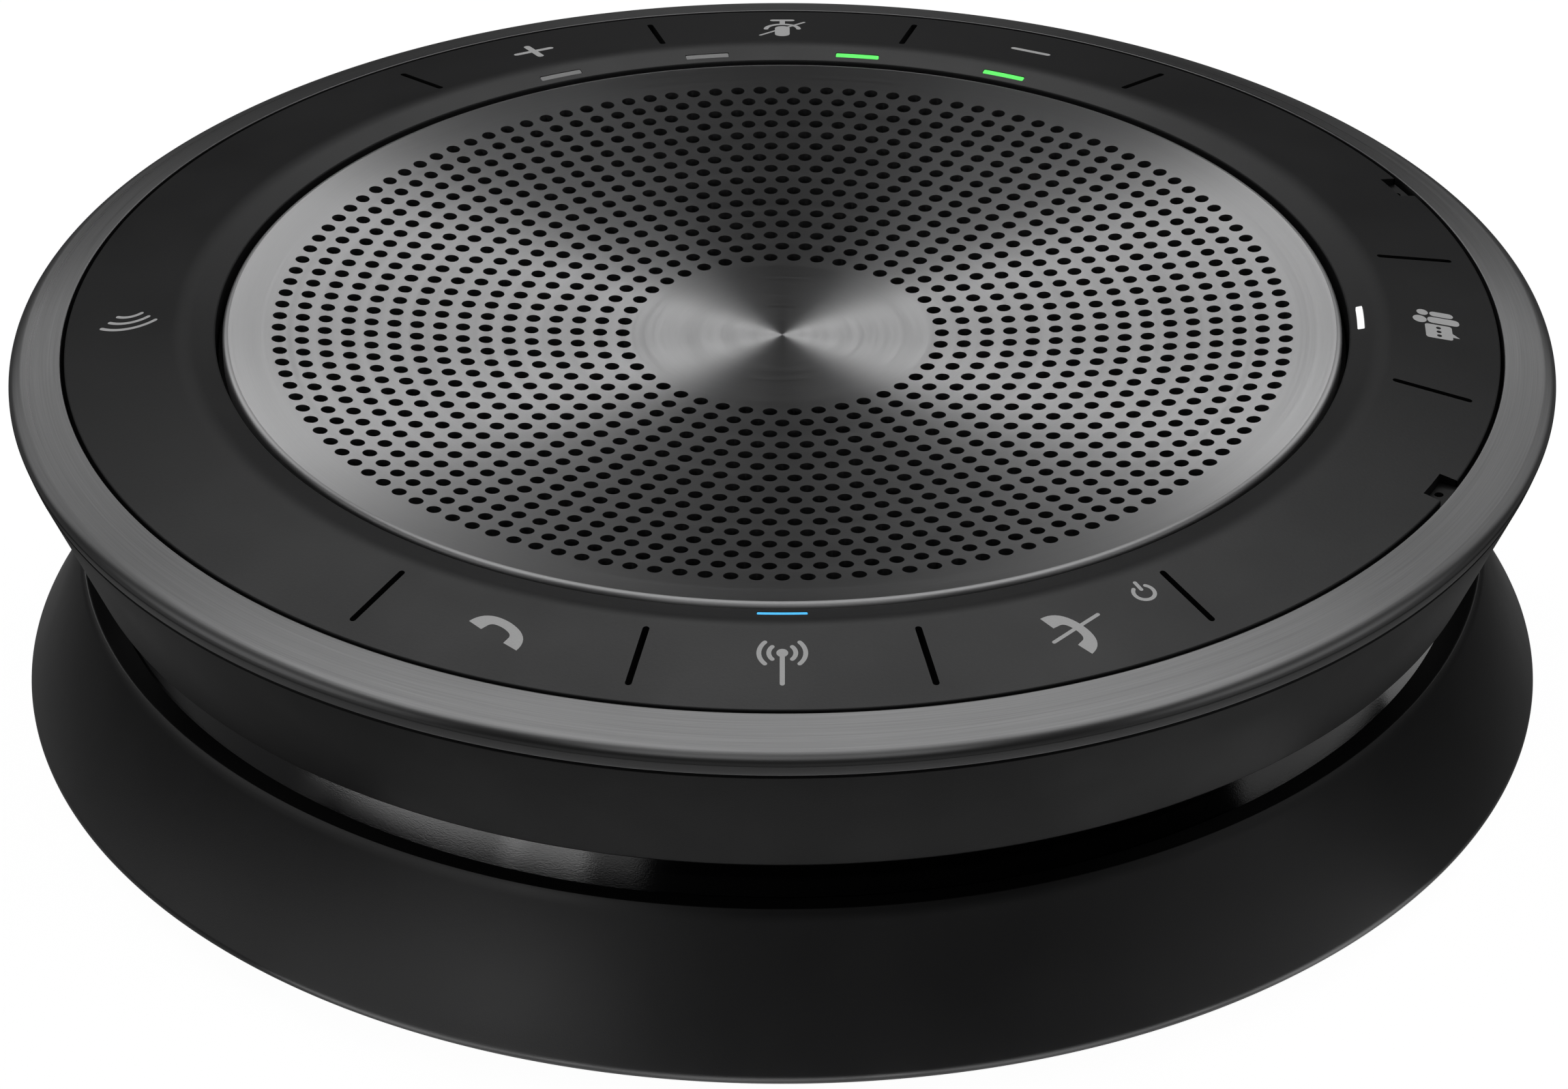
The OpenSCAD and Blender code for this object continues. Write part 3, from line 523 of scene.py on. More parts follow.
def wound_copper(name):
    """Voice-coil wire laid turn upon turn."""
    material, tree, shader = new_material(name)
    wire = 0.18
    _, _, z = split(tree, place_mm(tree))
    turns = calc(tree, "SINE", calc(tree, "MULTIPLY", z, 2 * math.pi / wire))
    tone = spread(tree, turns, -1.0, 1.0, 0.6, 1.1)
    finish_surface(tree, shader, times(tree, tone, (0.7, 0.25, 0.1)), 0.3, bump(tree, turns, 0.03), 1.0)
    return material


LOOKS = {
    # name: recipe and its values
    "brushed_grille": (brushed_metal, 0.7, 0.32, 0.93, 0.03),
    "brushed_rim": (brushed_metal, 0.4, 0.3, 0.7, 0.13),
    "keypad_skin": (moulded, (0.026, 0.026, 0.027), 0.42, 0.22, 0.006, 0.10),
    "icon_ink": (glowing_printed_ink,),
    "slot_depth": (moulded, (0.012, 0.012, 0.012), 0.6, 0.2, 0.01),
    "body_plastic": (moulded, (0.010, 0.010, 0.011), 0.42, 0.10, 0.008, 0.15),
    "waist_plastic": (moulded, (0.004, 0.004, 0.0045), 0.14, 0.12, 0.006, 0.1),
    "skirt_plastic": (moulded, (0.007, 0.007, 0.0075), 0.42, 0.10, 0.006, 0.15),
    "inner_plastic": (moulded, (0.006, 0.006, 0.006), 0.55, 0.3, 0.02),
    "foot_rubber": (moulded, (0.012, 0.012, 0.012), 0.8, 0.25, 0.03),
    "cable_jacket": (moulded, (0.012, 0.012, 0.012), 0.5, 0.2, 0.02),
    "plug_metal": (plain_metal, (0.55, 0.55, 0.56), 0.3),
    "cloth": (woven, (0.006, 0.006, 0.006)),
    "blue_window": (lit_window, (0.085, 0.53, 0.95), 1.0),
    "white_window": (lit_window, (0.95, 0.95, 0.95), 1.05),
    "green_window": (lit_window, (0.10, 0.86, 0.12), 1.0),
    "unlit_window": (moulded, (0.6, 0.6, 0.6), 0.4, 0.2, 0.004, 0.05),
    "led_package": (moulded, (0.6, 0.55, 0.35), 0.3, 0.3, 0.01),
    "board_green": (board,),
    "gold_contact": (plain_metal, (0.75, 0.5, 0.16), 0.25),
    "chip_black": (moulded, (0.015, 0.015, 0.016), 0.5, 0.3, 0.02),
    "tin_can": (plain_metal, (0.55, 0.55, 0.53), 0.35),
    "capacitor_sleeve": (moulded, (0.02, 0.025, 0.06), 0.35, 0.4, 0.01),
    "socket_plastic": (moulded, (0.55, 0.52, 0.42), 0.45, 0.3, 0.01),
    "basket_steel": (plain_metal, (0.06, 0.06, 0.065), 0.5),
    "motor_steel": (plain_metal, (0.35, 0.35, 0.34), 0.4),
    "magnet_nickel": (plain_metal, (0.5, 0.5, 0.48), 0.25),
    "coil_copper": (wound_copper,),
    "cone_paper": (woven, (0.018, 0.018, 0.018), 0.8, 0.02),
    "surround_rubber": (moulded, (0.01, 0.01, 0.01), 0.6, 0.3, 0.02),
    "spider_cloth": (woven, (0.3, 0.16, 0.04), 0.5, 0.06),
    "foam": (moulded, (0.02, 0.02, 0.02), 0.95, 0.5, 0.15, 0.3),
    "battery_wrap": (moulded, (0.03, 0.05, 0.12), 0.3, 0.5, 0.01, 0.05),
    "wire_red": (moulded, (0.35, 0.01, 0.01), 0.4, 0.3, 0.01, 0.05),
    "flex_film": (moulded, (0.32, 0.12, 0.02), 0.3, 0.4, 0.01, 0.1),
    "screw_steel": (plain_metal, (0.12, 0.12, 0.125), 0.3),
    "label_film": (moulded, (0.35, 0.35, 0.34), 0.45, 0.3, 0.003, 0.03),
}


def make_materials():
    return {name: recipe(name, *values) for name, (recipe, *values) in LOOKS.items()}


def dress_frame(looks):
    """Every CAD node takes the material of its slot in the record."""
    chosen = {part["node"]: part["material_slot"] for part in frame["record"]["subparts"]}
    for node, obj in frame["nodes"].items():
        obj.data.materials.clear()
        obj.data.materials.append(looks[chosen[node]])


# ---------- grille ----------

def dish(r):
    return DISH_LOW + DISH_RISE * (r / DISH_REF_R) ** 2


def hole_centres():
    for ring in range(FIRST_RING, LAST_RING + 1):
        t = np.arange(6 * ring) * 2 * math.pi / (6 * ring)
        yield from np.stack([np.cos(t), np.sin(t)], axis=1) * ring * HOLE_PITCH


def in_hole(middle):
    """Which points lie inside a sound hole."""
    ring = np.round(np.linalg.norm(middle, axis=1) / HOLE_PITCH)
    result = np.zeros(len(middle), bool)
    for shift in (-1, 0, 1):
        near = np.clip(ring + shift, FIRST_RING, LAST_RING)
        step = 2 * math.pi / (6 * near)
        t = np.round(np.arctan2(middle[:, 1], middle[:, 0]) / step) * step
        centre = np.stack([np.cos(t), np.sin(t)], axis=1) * (near * HOLE_PITCH)[:, None]
        result |= np.linalg.norm(middle - centre, axis=1) <= HOLE_R * 0.97
    return result


def grille(looks):
    """The dished sheet: a band of sound holes between a plain middle and a plain border."""
    skin = Skin()
    centres = list(hole_centres())
    holes = [circle(cx, cy, HOLE_R, HOLE_SIDES) for cx, cy in centres]
    inner = around(np.arange(TURN // 2) * 720 / TURN) * DISC_R
    outer = around(np.arange(TURN) * 360 / TURN) * HOLES_OUT_R
    xy, faces = triangulate([inner, outer] + holes, [])
    faces = counter_clockwise(xy, faces)
    middle = xy[faces].mean(axis=1)
    r = np.linalg.norm(middle, axis=1)
    keep = (r > DISC_R * 0.9995) & (r < HOLES_OUT_R) & ~in_hole(middle)
    skin.add(*lift(xy, dish), faces[keep].tolist())
    walls(skin, centres)
    lathe(skin, [(r, dish(r)) for r in np.linspace(0, DISC_R, 14)])
    lathe(skin, [(r, dish(r)) for r in np.linspace(HOLES_OUT_R, GRILLE_R - EDGE_ROUND, 5)])
    return skin.piece("grille_sheet", [looks["brushed_grille"]], "brushed_grille", "housing", ["grille"])


def grille_edge(looks):
    """Rolled edge of the sheet."""
    shoulder = (GRILLE_R - EDGE_ROUND, dish(GRILLE_R - EDGE_ROUND) - EDGE_ROUND)
    roll = [(shoulder[0] + EDGE_ROUND * math.sin(a), shoulder[1] + EDGE_ROUND * math.cos(a))
            for a in np.linspace(0, math.pi / 2, 9)]
    edge = roll + [(GRILLE_R, low("grille") + 0.5)]
    return turned("grille_edge", edge, looks, "brushed_grille", ["grille"])


def walls(skin, centres):
    """Inner wall of each sound hole."""
    n = HOLE_SIDES
    ring = circle(0, 0, 1, n)
    quads = [(i, (i + 1) % n, n + (i + 1) % n, n + i) for i in range(n)]
    for cx, cy in centres:
        xy = ring * HOLE_R + (cx, cy)
        top = dish(np.linalg.norm(xy, axis=1))
        side = np.column_stack([-ring, np.zeros(n)])
        points = np.vstack([np.column_stack([xy, top]), np.column_stack([xy, top - GRILLE_T])])
        skin.add(points, np.vstack([side, side]), quads)


# ---------- icons, as plain shapes in millimetres, with up towards the unit's centre ----------

def turn_shape(points, degrees, shift=(0, 0)):
    t = math.radians(degrees)
    spin = np.array([[math.cos(t), math.sin(t)], [-math.sin(t), math.cos(t)]])
    return np.asarray(points, float) @ spin + np.array(shift)


def bar(x0, y0, x1, y1, width, n=8):
    """Stroke with round ends."""
    along = math.atan2(y1 - y0, x1 - x0)
    t = np.linspace(-math.pi / 2, math.pi / 2, n + 1)
    end = rays(t + along) * width / 2
    start = rays(t + along + math.pi) * width / 2
    return np.vstack([end + (x1, y1), start + (x0, y0)])


def rays(t):
    """Unit vectors at angles in radians, anticlockwise from +X."""
    return np.stack([np.cos(t), np.sin(t)], axis=1)


def bow(cx, cy, r, a0, a1, width):
    """Bent stroke with round ends, anticlockwise from angle a0 to a1."""
    t = np.radians(np.linspace(a0, a1, 25))
    ray = rays(t)
    cap = np.linspace(0, math.pi, 7)[1:-1]
    tip = rays(cap + t[-1]) * width / 2 + ray[-1] * r
    tail = rays(cap + t[0] + math.pi) * width / 2 + ray[0] * r
    return np.vstack([ray * (r + width / 2), tip, ray[::-1] * (r - width / 2), tail]) + (cx, cy)


def tile(cx, cy, width, height, corner):
    """Rectangle with round corners."""
    quarter = rays(np.linspace(0, math.pi / 2, 5)) * corner
    parts = []
    for k, (sx, sy) in enumerate([(1, 1), (-1, 1), (-1, -1), (1, -1)]):
        middle = (cx + sx * (width / 2 - corner), cy + sy * (height / 2 - corner))
        parts.append(turn_shape(quarter, 90 * k) + middle)
    return np.vstack(parts)


def handset(degrees, shift):
    """Telephone receiver lying on its side."""
    back = bezier((-2.45, -0.75), (-2.3, 0.95), (0, 1.0), 10)
    back += bezier((0, 1.0), (2.3, 0.95), (2.45, -0.75), 10)[1:]
    pad = [(1.15, -0.8)] + bezier((1.05, -0.15), (0.95, 0.12), (0.6, 0.2), 4)
    belly = bezier((0.6, 0.2), (0, 0.34), (-0.6, 0.2), 6)[1:-1]
    points = back + pad + belly + [(-x, y) for x, y in reversed(pad)]
    return turn_shape(points, degrees, shift)


def icon_answer():
    return [handset(-21.5, (-0.08, 0.12))], []


def icon_end():
    return [handset(-66.5, (0.62, -0.22)), bar(-1.15, -0.82, 3.1, 0.9, 0.3)], []


def icon_power():
    return [bow(0, 0, 0.78, -230, 50, 0.3), bar(0, 0.35, 0, 1.15, 0.3)], []


def icon_wireless():
    """Mast with waves to both sides."""
    waves = [bow(0, 0.95, r, s - 42, s + 42, 0.34) for r in (0.95, 1.65) for s in (0, 180)]
    return [circle(0, 0.95, 0.42, 20), bar(0, 0.9, 0, -2.2, 0.36)] + waves, []


def icon_minus():
    return [bar(-1.5, 0.05, 1.5, 0.05, 0.55)], []


def icon_plus():
    return [bar(-1.5, 0, 1.5, 0, 0.55), bar(0, -1.5, 0, 1.55, 0.55)], []


def icon_mute():
    """Microphone on a stand, struck through."""
    return [bar(0, 0.2, 0, 2.0, 1.25, 12), bow(0, 0.4, 1.38, 180, 360, 0.4), bar(0, -1.0, 0, -2.1, 0.45),
            bar(-0.8, -2.2, 0.8, -2.2, 0.5), bar(-1.85, -1.6, 1.85, 2.3, 0.26)], []


def icon_assistant():
    """Speech bubble beside two people."""
    bubble = tile(-1.35, -0.15, 2.15, 2.1, 0.25)
    tail = np.array([(-1.9, -1.1), (-1.2, -1.1), (-1.95, -1.75)])
    dots = [circle(x, -0.15, 0.2, 12) for x in (-1.95, -1.35, -0.75)]
    people = [circle(0.3, 1.25, 0.55, 20), tile(0.42, -0.6, 0.95, 2.5, 0.4),
              circle(1.45, 0.98, 0.45, 18), tile(1.42, -0.5, 0.75, 1.85, 0.35)]
    return [bubble, tail] + people, dots


def icon_contactless():
    """Row of widening waves."""
    return [bow(-2.4, 0, r, -38, 38, 0.34) for r in (1.5, 2.45, 3.4)], []


def placed(shape, a, r):
    """Icon shape in the keypad's plane, centred at angle a and radius r."""
    out, along = around(a), around(a + 90)
    return out * (r - shape[:, 1:]) + along * shape[:, :1]


def icons():
    """(shapes, cut-outs) of every icon, in the keypad's plane."""
    spots = [
        (icon_answer, angle_of("answer_key"), KEY_MID_R),
        (icon_wireless, angle_of("wireless_key"), KEY_MID_R),
        (icon_end, angle_of("end_key"), KEY_MID_R),
        (icon_power, angle_of("end_key") + 8.6, 49.1),
        (icon_minus, angle_of("volume_down_key"), KEY_MID_R),
        (icon_mute, 180, KEY_MID_R),
        (icon_plus, angle_of("volume_up_key"), KEY_MID_R),
        (icon_assistant, angle_of(SIDE_KEY), KEY_MID_R),
        (icon_contactless, -88.5, KEY_MID_R),
    ]
    for make, a, r in spots:
        shapes, holes = make()
        yield [placed(s, a, r) for s in shapes], [placed(s, a, r) for s in holes]


# ---------- keypad ----------

def pad_top(r):
    """Height of the keypad's surface at radius r."""
    bevel = math.atan(BEVEL_DROP / (CREST_R - PAD_IN_R))
    slope = math.atan(CREST_RISE / (PAD_OUT_R - CREST_R))
    shift = CREST_ROUND * (math.cos(slope) - math.cos(bevel)) / math.sin(slope + bevel)
    sink = (CREST_ROUND - shift * math.sin(bevel)) / math.cos(bevel)
    middle = CREST_R + shift
    top = RIM_TOP + CREST_RISE
    rise = top - (CREST_R - r) * math.tan(bevel)
    fall = top - (r - CREST_R) * math.tan(slope)
    crest = top - sink + np.sqrt(np.maximum(CREST_ROUND ** 2 - (r - middle) ** 2, 0.0))
    on_bevel = r < middle - CREST_ROUND * math.sin(bevel)
    on_slope = r > middle + CREST_ROUND * math.sin(slope)
    return np.where(on_bevel, rise, np.where(on_slope, fall, crest))


def slot_shape(a, span):
    """Outline of the slot at angle a between two radii."""
    local = bar(0, -span[0] - SLOT_W / 2, 0, -span[1] + SLOT_W / 2, SLOT_W)
    return placed(local, a, 0)


def band_shape(a, span, r_in, r_out, corner):
    """Outline of a short curved window centred at angle a."""
    mid = (r_in + r_out) / 2
    flat = tile(0, 0, math.radians(span) * mid, r_out - r_in, corner)
    dense = [p for i, p in enumerate(flat) for p in edge_steps(p, flat[(i + 1) % len(flat)], 0.25)]
    return np.array([around(a + math.degrees(x / mid)) * (mid - y) for x, y in dense])


def edge_steps(p, q, step):
    n = max(1, int(np.linalg.norm(q - p) / step))
    return [p + (q - p) * i / n for i in range(n)]


def window_angles():
    """Angle of each light window, with its material and the CAD nodes it stands in for."""
    yield 0.0, "blue_window", ["front_light_guide"]
    yield angle_of(SIDE_KEY), "white_window", ["side_light_guide"]
    for a in REAR_WINDOWS:
        yield 180 - a, "green_window", ["rear_lit_guides"]
        yield a - 180, "unlit_window", ["rear_unlit_guides"]


def slot_angles():
    for k in (-1.5, -0.5, 0.5, 1.5):
        yield k * FRONT_PITCH, SLOT_FRONT
        yield 180 + k * REAR_PITCH, SLOT_REAR
    for k in (-0.5, 0.5):
        yield angle_of(SIDE_KEY) + k * SIDE_SPAN, SLOT_FRONT


def key_patches():
    """Name, middle angle and half span of each key."""
    for name in FRONT_KEYS:
        yield name, angle_of(name), FRONT_PITCH / 2
    for name in REAR_KEYS:
        yield name, angle_of(name), REAR_PITCH / 2
    yield SIDE_KEY, angle_of(SIDE_KEY), SIDE_SPAN / 2


def away(a, b):
    """Smallest difference between two angles."""
    return (a - b + 180) % 360 - 180


def notch_ends():
    """Angles at which the microphone recesses begin and end, in order."""
    return sorted(m + s * NOTCH_SPAN / 2 for m in MIC_ANGLES for s in (-1, 1))


def outer_angles():
    """Angles round the keypad's outer edge, with a point at each end of the microphone recesses."""
    ends = notch_ends()
    return np.array(sorted([a for a in FULL if min(abs(away(a, m)) for m in ends) > 0.12] + ends))


def notch_shape(a):
    """Outline of a microphone recess, open over the keypad's edge."""
    edge = around(np.linspace(a + NOTCH_SPAN / 2, a - NOTCH_SPAN / 2, 8)) * NOTCH_R
    corners = around(np.array([a - NOTCH_SPAN / 2, a + NOTCH_SPAN / 2])) * (PAD_OUT_R - PAD_EDGE)
    return np.vstack([corners, edge])


def skin_cuts():
    """Outlines of the slots and light windows, which go right through the skin."""
    slots = [slot_shape(a, span) for a, span in slot_angles()]
    r_in, r_out = WINDOW_R[0] - WINDOW_GAP, WINDOW_R[1] + WINDOW_GAP
    return slots + [band_shape(a, WINDOW_SPAN + 0.1, r_in, r_out, 0.12) for a, _, _ in window_angles()]


def skin_faces(marks, cuts, rims):
    """Triangles of the whole skin in its plane, with every outline kept as edges."""
    loops = [around(FULL) * (PAD_IN_R + PAD_EDGE), around(rims) * (PAD_OUT_R - PAD_EDGE)]
    loops += [around(FULL) * r for r in (KEY_IN_R, KEY_MID_R, KEY_OUT_R)]
    for shapes, holes in marks:
        loops += shapes + holes
    recesses = [notch_shape(a) for a in MIC_ANGLES]
    splits = [np.array([around(a) * KEY_IN_R, around(a) * KEY_OUT_R]) for a, _ in slot_angles()]
    grid = np.vstack([around(FULL + 0.25) * r for r in SKIN_RINGS])
    xy, faces = triangulate(loops + cuts + recesses + splits, grid)
    return xy, counter_clockwise(xy, faces)


def cut_away(middle, r, a, cuts):
    """Which faces lie in a slot, window or microphone recess, or inside the skin's inner edge."""
    gone = r < (PAD_IN_R + PAD_EDGE) * 0.9999
    for loop in cuts:
        gone |= inside(loop, middle)
    for m in MIC_ANGLES:
        gone |= (r > NOTCH_R) & (np.abs(away(a, m)) < NOTCH_SPAN / 2)
    return gone


def inked(middle, marks):
    """1 for each face that lies within an icon."""
    ink = np.zeros(len(middle), int)
    for shapes, holes in marks:
        hit = np.any([inside(s, middle) for s in shapes], axis=0)
        for s in holes:
            hit &= ~inside(s, middle)
        ink[hit] = 1
    return ink


def key_regions(r, a):
    """0 on the fixed ring, then an odd and an even number for each key's inner and outer half."""
    region = np.zeros(len(r), int)
    for k, (_, mid, half) in enumerate(key_patches()):
        on_key = (r > KEY_IN_R * 0.99999) & (r < KEY_OUT_R) & (np.abs(away(a, mid)) < half)
        region[on_key & (r < KEY_MID_R)] = 2 * k + 1
        region[on_key & (r >= KEY_MID_R)] = 2 * k + 2
    return region


def keypad(looks):
    """The soft skin in one sheet, then split into the fixed ring and the two halves of each key."""
    rims = outer_angles()
    marks = list(icons())
    cuts = skin_cuts()
    xy, faces = skin_faces(marks, cuts, rims)
    middle = xy[faces].mean(axis=1)
    r = np.linalg.norm(middle, axis=1)
    a = np.degrees(np.arctan2(middle[:, 0], -middle[:, 1]))
    gone = cut_away(middle, r, a, cuts)
    ink = inked(middle, marks)
    region = key_regions(r, a)
    points, normals = lift(xy, pad_top)
    past_edge = np.linalg.norm(xy, axis=1) > PAD_IN_R + PAD_EDGE + 0.01
    hanging = [(f, points[i], points[j]) for f, i, j in open_edges(faces, gone) if past_edge[i]]
    names = ["keypad_skin"]
    names += [f"{key}_skin_{end}" for key, _, _ in key_patches() for end in ("inner", "outer")]
    materials = [looks["keypad_skin"], looks["icon_ink"], looks["slot_depth"]]
    pieces = []
    for k, name in enumerate(names):
        chosen = (region == k) & ~gone
        skin = Skin()
        used, local = np.unique(faces[chosen], return_inverse=True)
        skin.add(points[used], normals[used], local.reshape(-1, 3).tolist(), ink[chosen])
        drop_walls(skin, [(p, q) for f, p, q in hanging if region[f] == k], SKIN_T, 2)
        if k == 0:
            pad_edges(skin, rims)
        pieces.append(skin.piece(name, materials, "keypad_skin"))
    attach(pieces[0], "housing")
    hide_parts("keypad_ring")
    for patch, inner, outer in zip(key_patches(), pieces[1::2], pieces[2::2]):
        bend_key(*patch, inner, outer)
    return pieces


def bend_key(key, mid, half, inner, outer):
    """Bakes the placement of a key's two halves and hides the key's CAD node."""
    out = Vector((*around(mid), 0)) * MM
    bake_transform(inner)
    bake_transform(outer)
    for piece in (inner, outer):
        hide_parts(key)


def open_edges(faces, gone):
    """(face, start, end) of every kept face's edge that borders a removed face."""
    bordering = {(tri[(i + 1) % 3], tri[i]) for tri in faces[gone] for i in range(3)}
    found = []
    for f in np.nonzero(~gone)[0]:
        tri = faces[f]
        for i in range(3):
            edge = (tri[i], tri[(i + 1) % 3])
            if edge in bordering:
                found.append((f, *edge))
    return found


def skin_point(r):
    """Point of the skin's section at radius r."""
    return r, float(pad_top(r))


def pad_edges(skin, rims):
    """Rounded inner and outer edges of the skin, open at the microphone recesses."""
    z_in, z_out = skin_point(PAD_IN_R)[1], skin_point(PAD_OUT_R)[1]
    foot_in, foot_out = (PAD_IN_R, z_in - PAD_EDGE), (PAD_OUT_R, z_out - PAD_EDGE)
    inner = [(PAD_IN_R, PAD_LOW)] + bezier(foot_in, (PAD_IN_R, z_in), skin_point(PAD_IN_R + PAD_EDGE), 4)
    outer = bezier(skin_point(PAD_OUT_R - PAD_EDGE), (PAD_OUT_R, z_out), foot_out, 4) + [(PAD_OUT_R, PAD_LOW)]
    lathe(skin, inner, 0, np.append(FULL, 360))
    ends = notch_ends()
    wide = np.concatenate([rims, rims + 360])
    for a0, a1 in ((ends[1], ends[2]), (ends[3], ends[0] + 360)):
        lathe(skin, outer, 0, wide[(wide > a0 - 1e-6) & (wide < a1 + 1e-6)])
    for m in MIC_ANGLES:
        notch_sides(skin, m, outer)
        notch_floor(skin, m)


def notch_sides(skin, m, outer):
    """The two end faces of the microphone recess at angle m."""
    sill = NOTCH_FLOOR - 0.3
    face = [(PAD_OUT_R - PAD_EDGE, sill)] + outer[:-1] + [(PAD_OUT_R, sill)]
    order = list(range(len(face)))
    for s in (-1, 1):
        out = around(m + s * NOTCH_SPAN / 2)
        along = around(m + 90 + s * NOTCH_SPAN / 2) * -s
        points = [np.append(out * p[0], p[1]) for p in face]
        skin.add(points, [np.append(along, 0)] * len(points), [tuple(order if s > 0 else order[::-1])], 2)


def notch_floor(skin, m):
    """Floor of the microphone recess at angle m, with the sound port through it."""
    span = np.linspace(m - NOTCH_SPAN / 2, m + NOTCH_SPAN / 2, 8)
    rim = np.vstack([around(span) * (PAD_OUT_R + 0.02), around(span[::-1]) * (NOTCH_R - 0.02)])
    port = circle(*around(m) * PORT_AT_R, PORT_R, PORT_SIDES)
    xy, faces = triangulate([rim, port], [])
    faces = counter_clockwise(xy, faces)
    centre = xy[faces].mean(axis=1)
    keep = inside(rim, centre) & ~inside(port, centre)
    points = np.column_stack([xy, np.full(len(xy), NOTCH_FLOOR)])
    skin.add(points, np.tile([0.0, 0, 1], (len(xy), 1)), faces[keep].tolist(), 2)
    loop = np.column_stack([port, np.full(PORT_SIDES, NOTCH_FLOOR)])
    drop_walls(skin, [(loop[(i + 1) % PORT_SIDES], loop[i]) for i in range(PORT_SIDES)], 0.6, 2)


def windows(looks):
    """A lens in each window of the bevel, flush with the skin."""
    pieces = []
    for a, look, nodes in window_angles():
        loop = band_shape(a, WINDOW_SPAN, *WINDOW_R, 0.1)
        grid = np.vstack([around(np.linspace(a - 2, a + 2, 17)) * r for r in (44.64, 44.8, 44.96)])
        xy, faces = triangulate([loop], grid)
        faces = counter_clockwise(xy, faces)
        keep = inside(loop, xy[faces].mean(axis=1))
        skin = Skin()
        points, normals = lift(xy, lambda r: pad_top(r) - WINDOW_SINK)
        skin.add(points, normals, faces[keep].tolist())
        top = np.column_stack([loop, pad_top(np.linalg.norm(loop, axis=1)) - WINDOW_SINK])
        drop_walls(skin, [(top[i], top[(i + 1) % len(top)]) for i in range(len(top))], SKIN_T)
        pieces.append(skin.piece(f"{look}_{round(abs(a))}", [looks[look]], look, "housing", nodes))
    return pieces


def web(looks):
    """Underside of the skin, seen at the bottom of the slots."""
    radii = np.linspace(PAD_IN_R + 0.02, PAD_OUT_R - 0.02, 24)
    section = [(r, float(pad_top(r)) - SKIN_T + 0.02) for r in radii]
    turned("keypad_web", section, looks, "slot_depth", (), "keypad_skin")


# ---------- outer shells ----------

def rim(looks):
    shoulder = (RIM_R - 1, RIM_TOP - 0.82)
    side = bezier(shoulder, (RIM_R + 0.05, RIM_TOP - 1.15), (RIM_R, RIM_TOP - 1.9), 16)
    top = soften([(RIM_IN_R, RIM_TOP - 1.9), (RIM_IN_R, RIM_TOP), shoulder], 0.12)
    foot = soften([side[-1], (RIM_R - 0.3, RIM_LOW), (RIM_R - 1.4, RIM_LOW)], 0.15)
    return turned("rim", top[:-1] + side + foot[1:], looks, "brushed_rim", ["rim_ring"])


def body(looks):
    top = [(BODY_TOP_R - 1.5, BODY_TOP), (BODY_TOP_R, BODY_TOP)]
    foot = [(BODY_LOW_R, BODY_LOW), (WAIST_R - 1, BODY_LOW)]
    return turned("body", soften(top + foot, 0.3), looks, "body_plastic", ["body_shell"])


def waist(looks):
    outline = [(WAIST_R, z) for z in np.linspace(BODY_LOW, SKIRT_TOP - 1.8, 5)]
    return turned("waist", outline, looks, "waist_plastic", ["waist_drum"])


def skirt(looks):
    """Ledge at the waist, concave flare, rounded foot and the start of the inside."""
    centre = (SKIRT_R - HEM_ROUND, SKIRT_LOW + HEM_ROUND)
    hem = [(centre[0] + HEM_ROUND * math.cos(t), centre[1] - HEM_ROUND * math.sin(t))
           for t in np.radians(np.linspace(-30, 90, 13))]
    flare = bezier((LIP_R, SKIRT_TOP), (LIP_R + 1.49, SKIRT_TOP - 6.1), hem[0], 24)
    ledge = [(WAIST_R + 0.1, SKIRT_TOP - 0.35), (LIP_R - 0.2, SKIRT_TOP - 0.03)]
    ledge.append((LIP_R + 0.02, SKIRT_TOP - 0.1))
    under = [(SKIRT_IN_R, SKIRT_LOW), (SKIRT_IN_R, SKIRT_LOW + 1.9)]
    outline = soften(ledge, 0.1)[:-1] + flare[1:] + hem[1:] + under
    return turned("skirt", outline, looks, "skirt_plastic", ["base_skirt"])


# ---------- stage ----------

def soft_patch(tree, u, v, patch):
    """1 inside a soft-edged patch of two coordinates, times its level."""
    u0, u1, soft_u, v0, v1, soft_v, level = patch
    sides = calc(tree, "MULTIPLY", spread(tree, u, u0 - soft_u, u0 + soft_u, 0.0, 1.0, True),
                 spread(tree, u, u1 - soft_u, u1 + soft_u, 1.0, 0.0, True))
    heights = calc(tree, "MULTIPLY", spread(tree, v, v0 - soft_v, v0 + soft_v, 0.0, 1.0, True),
                   spread(tree, v, v1 - soft_v, v1 + soft_v, 1.0, 0.0, True))
    return calc(tree, "MULTIPLY", calc(tree, "MULTIPLY", sides, heights), level)


CARDS = [
    # low reflectors round the base:
    # angle from the front (from, to), softness, radius (from, to), softness, level
    (-200, 200, 1, 0, 69, 3, 0.25),        # glow under the body
    (-30, 62, 14, 58, 62.5, 1, 0.4),       # light along the foot of the base
    (-200, 200, 1, 96, 400, 6, 0.06),      # floor further out
]


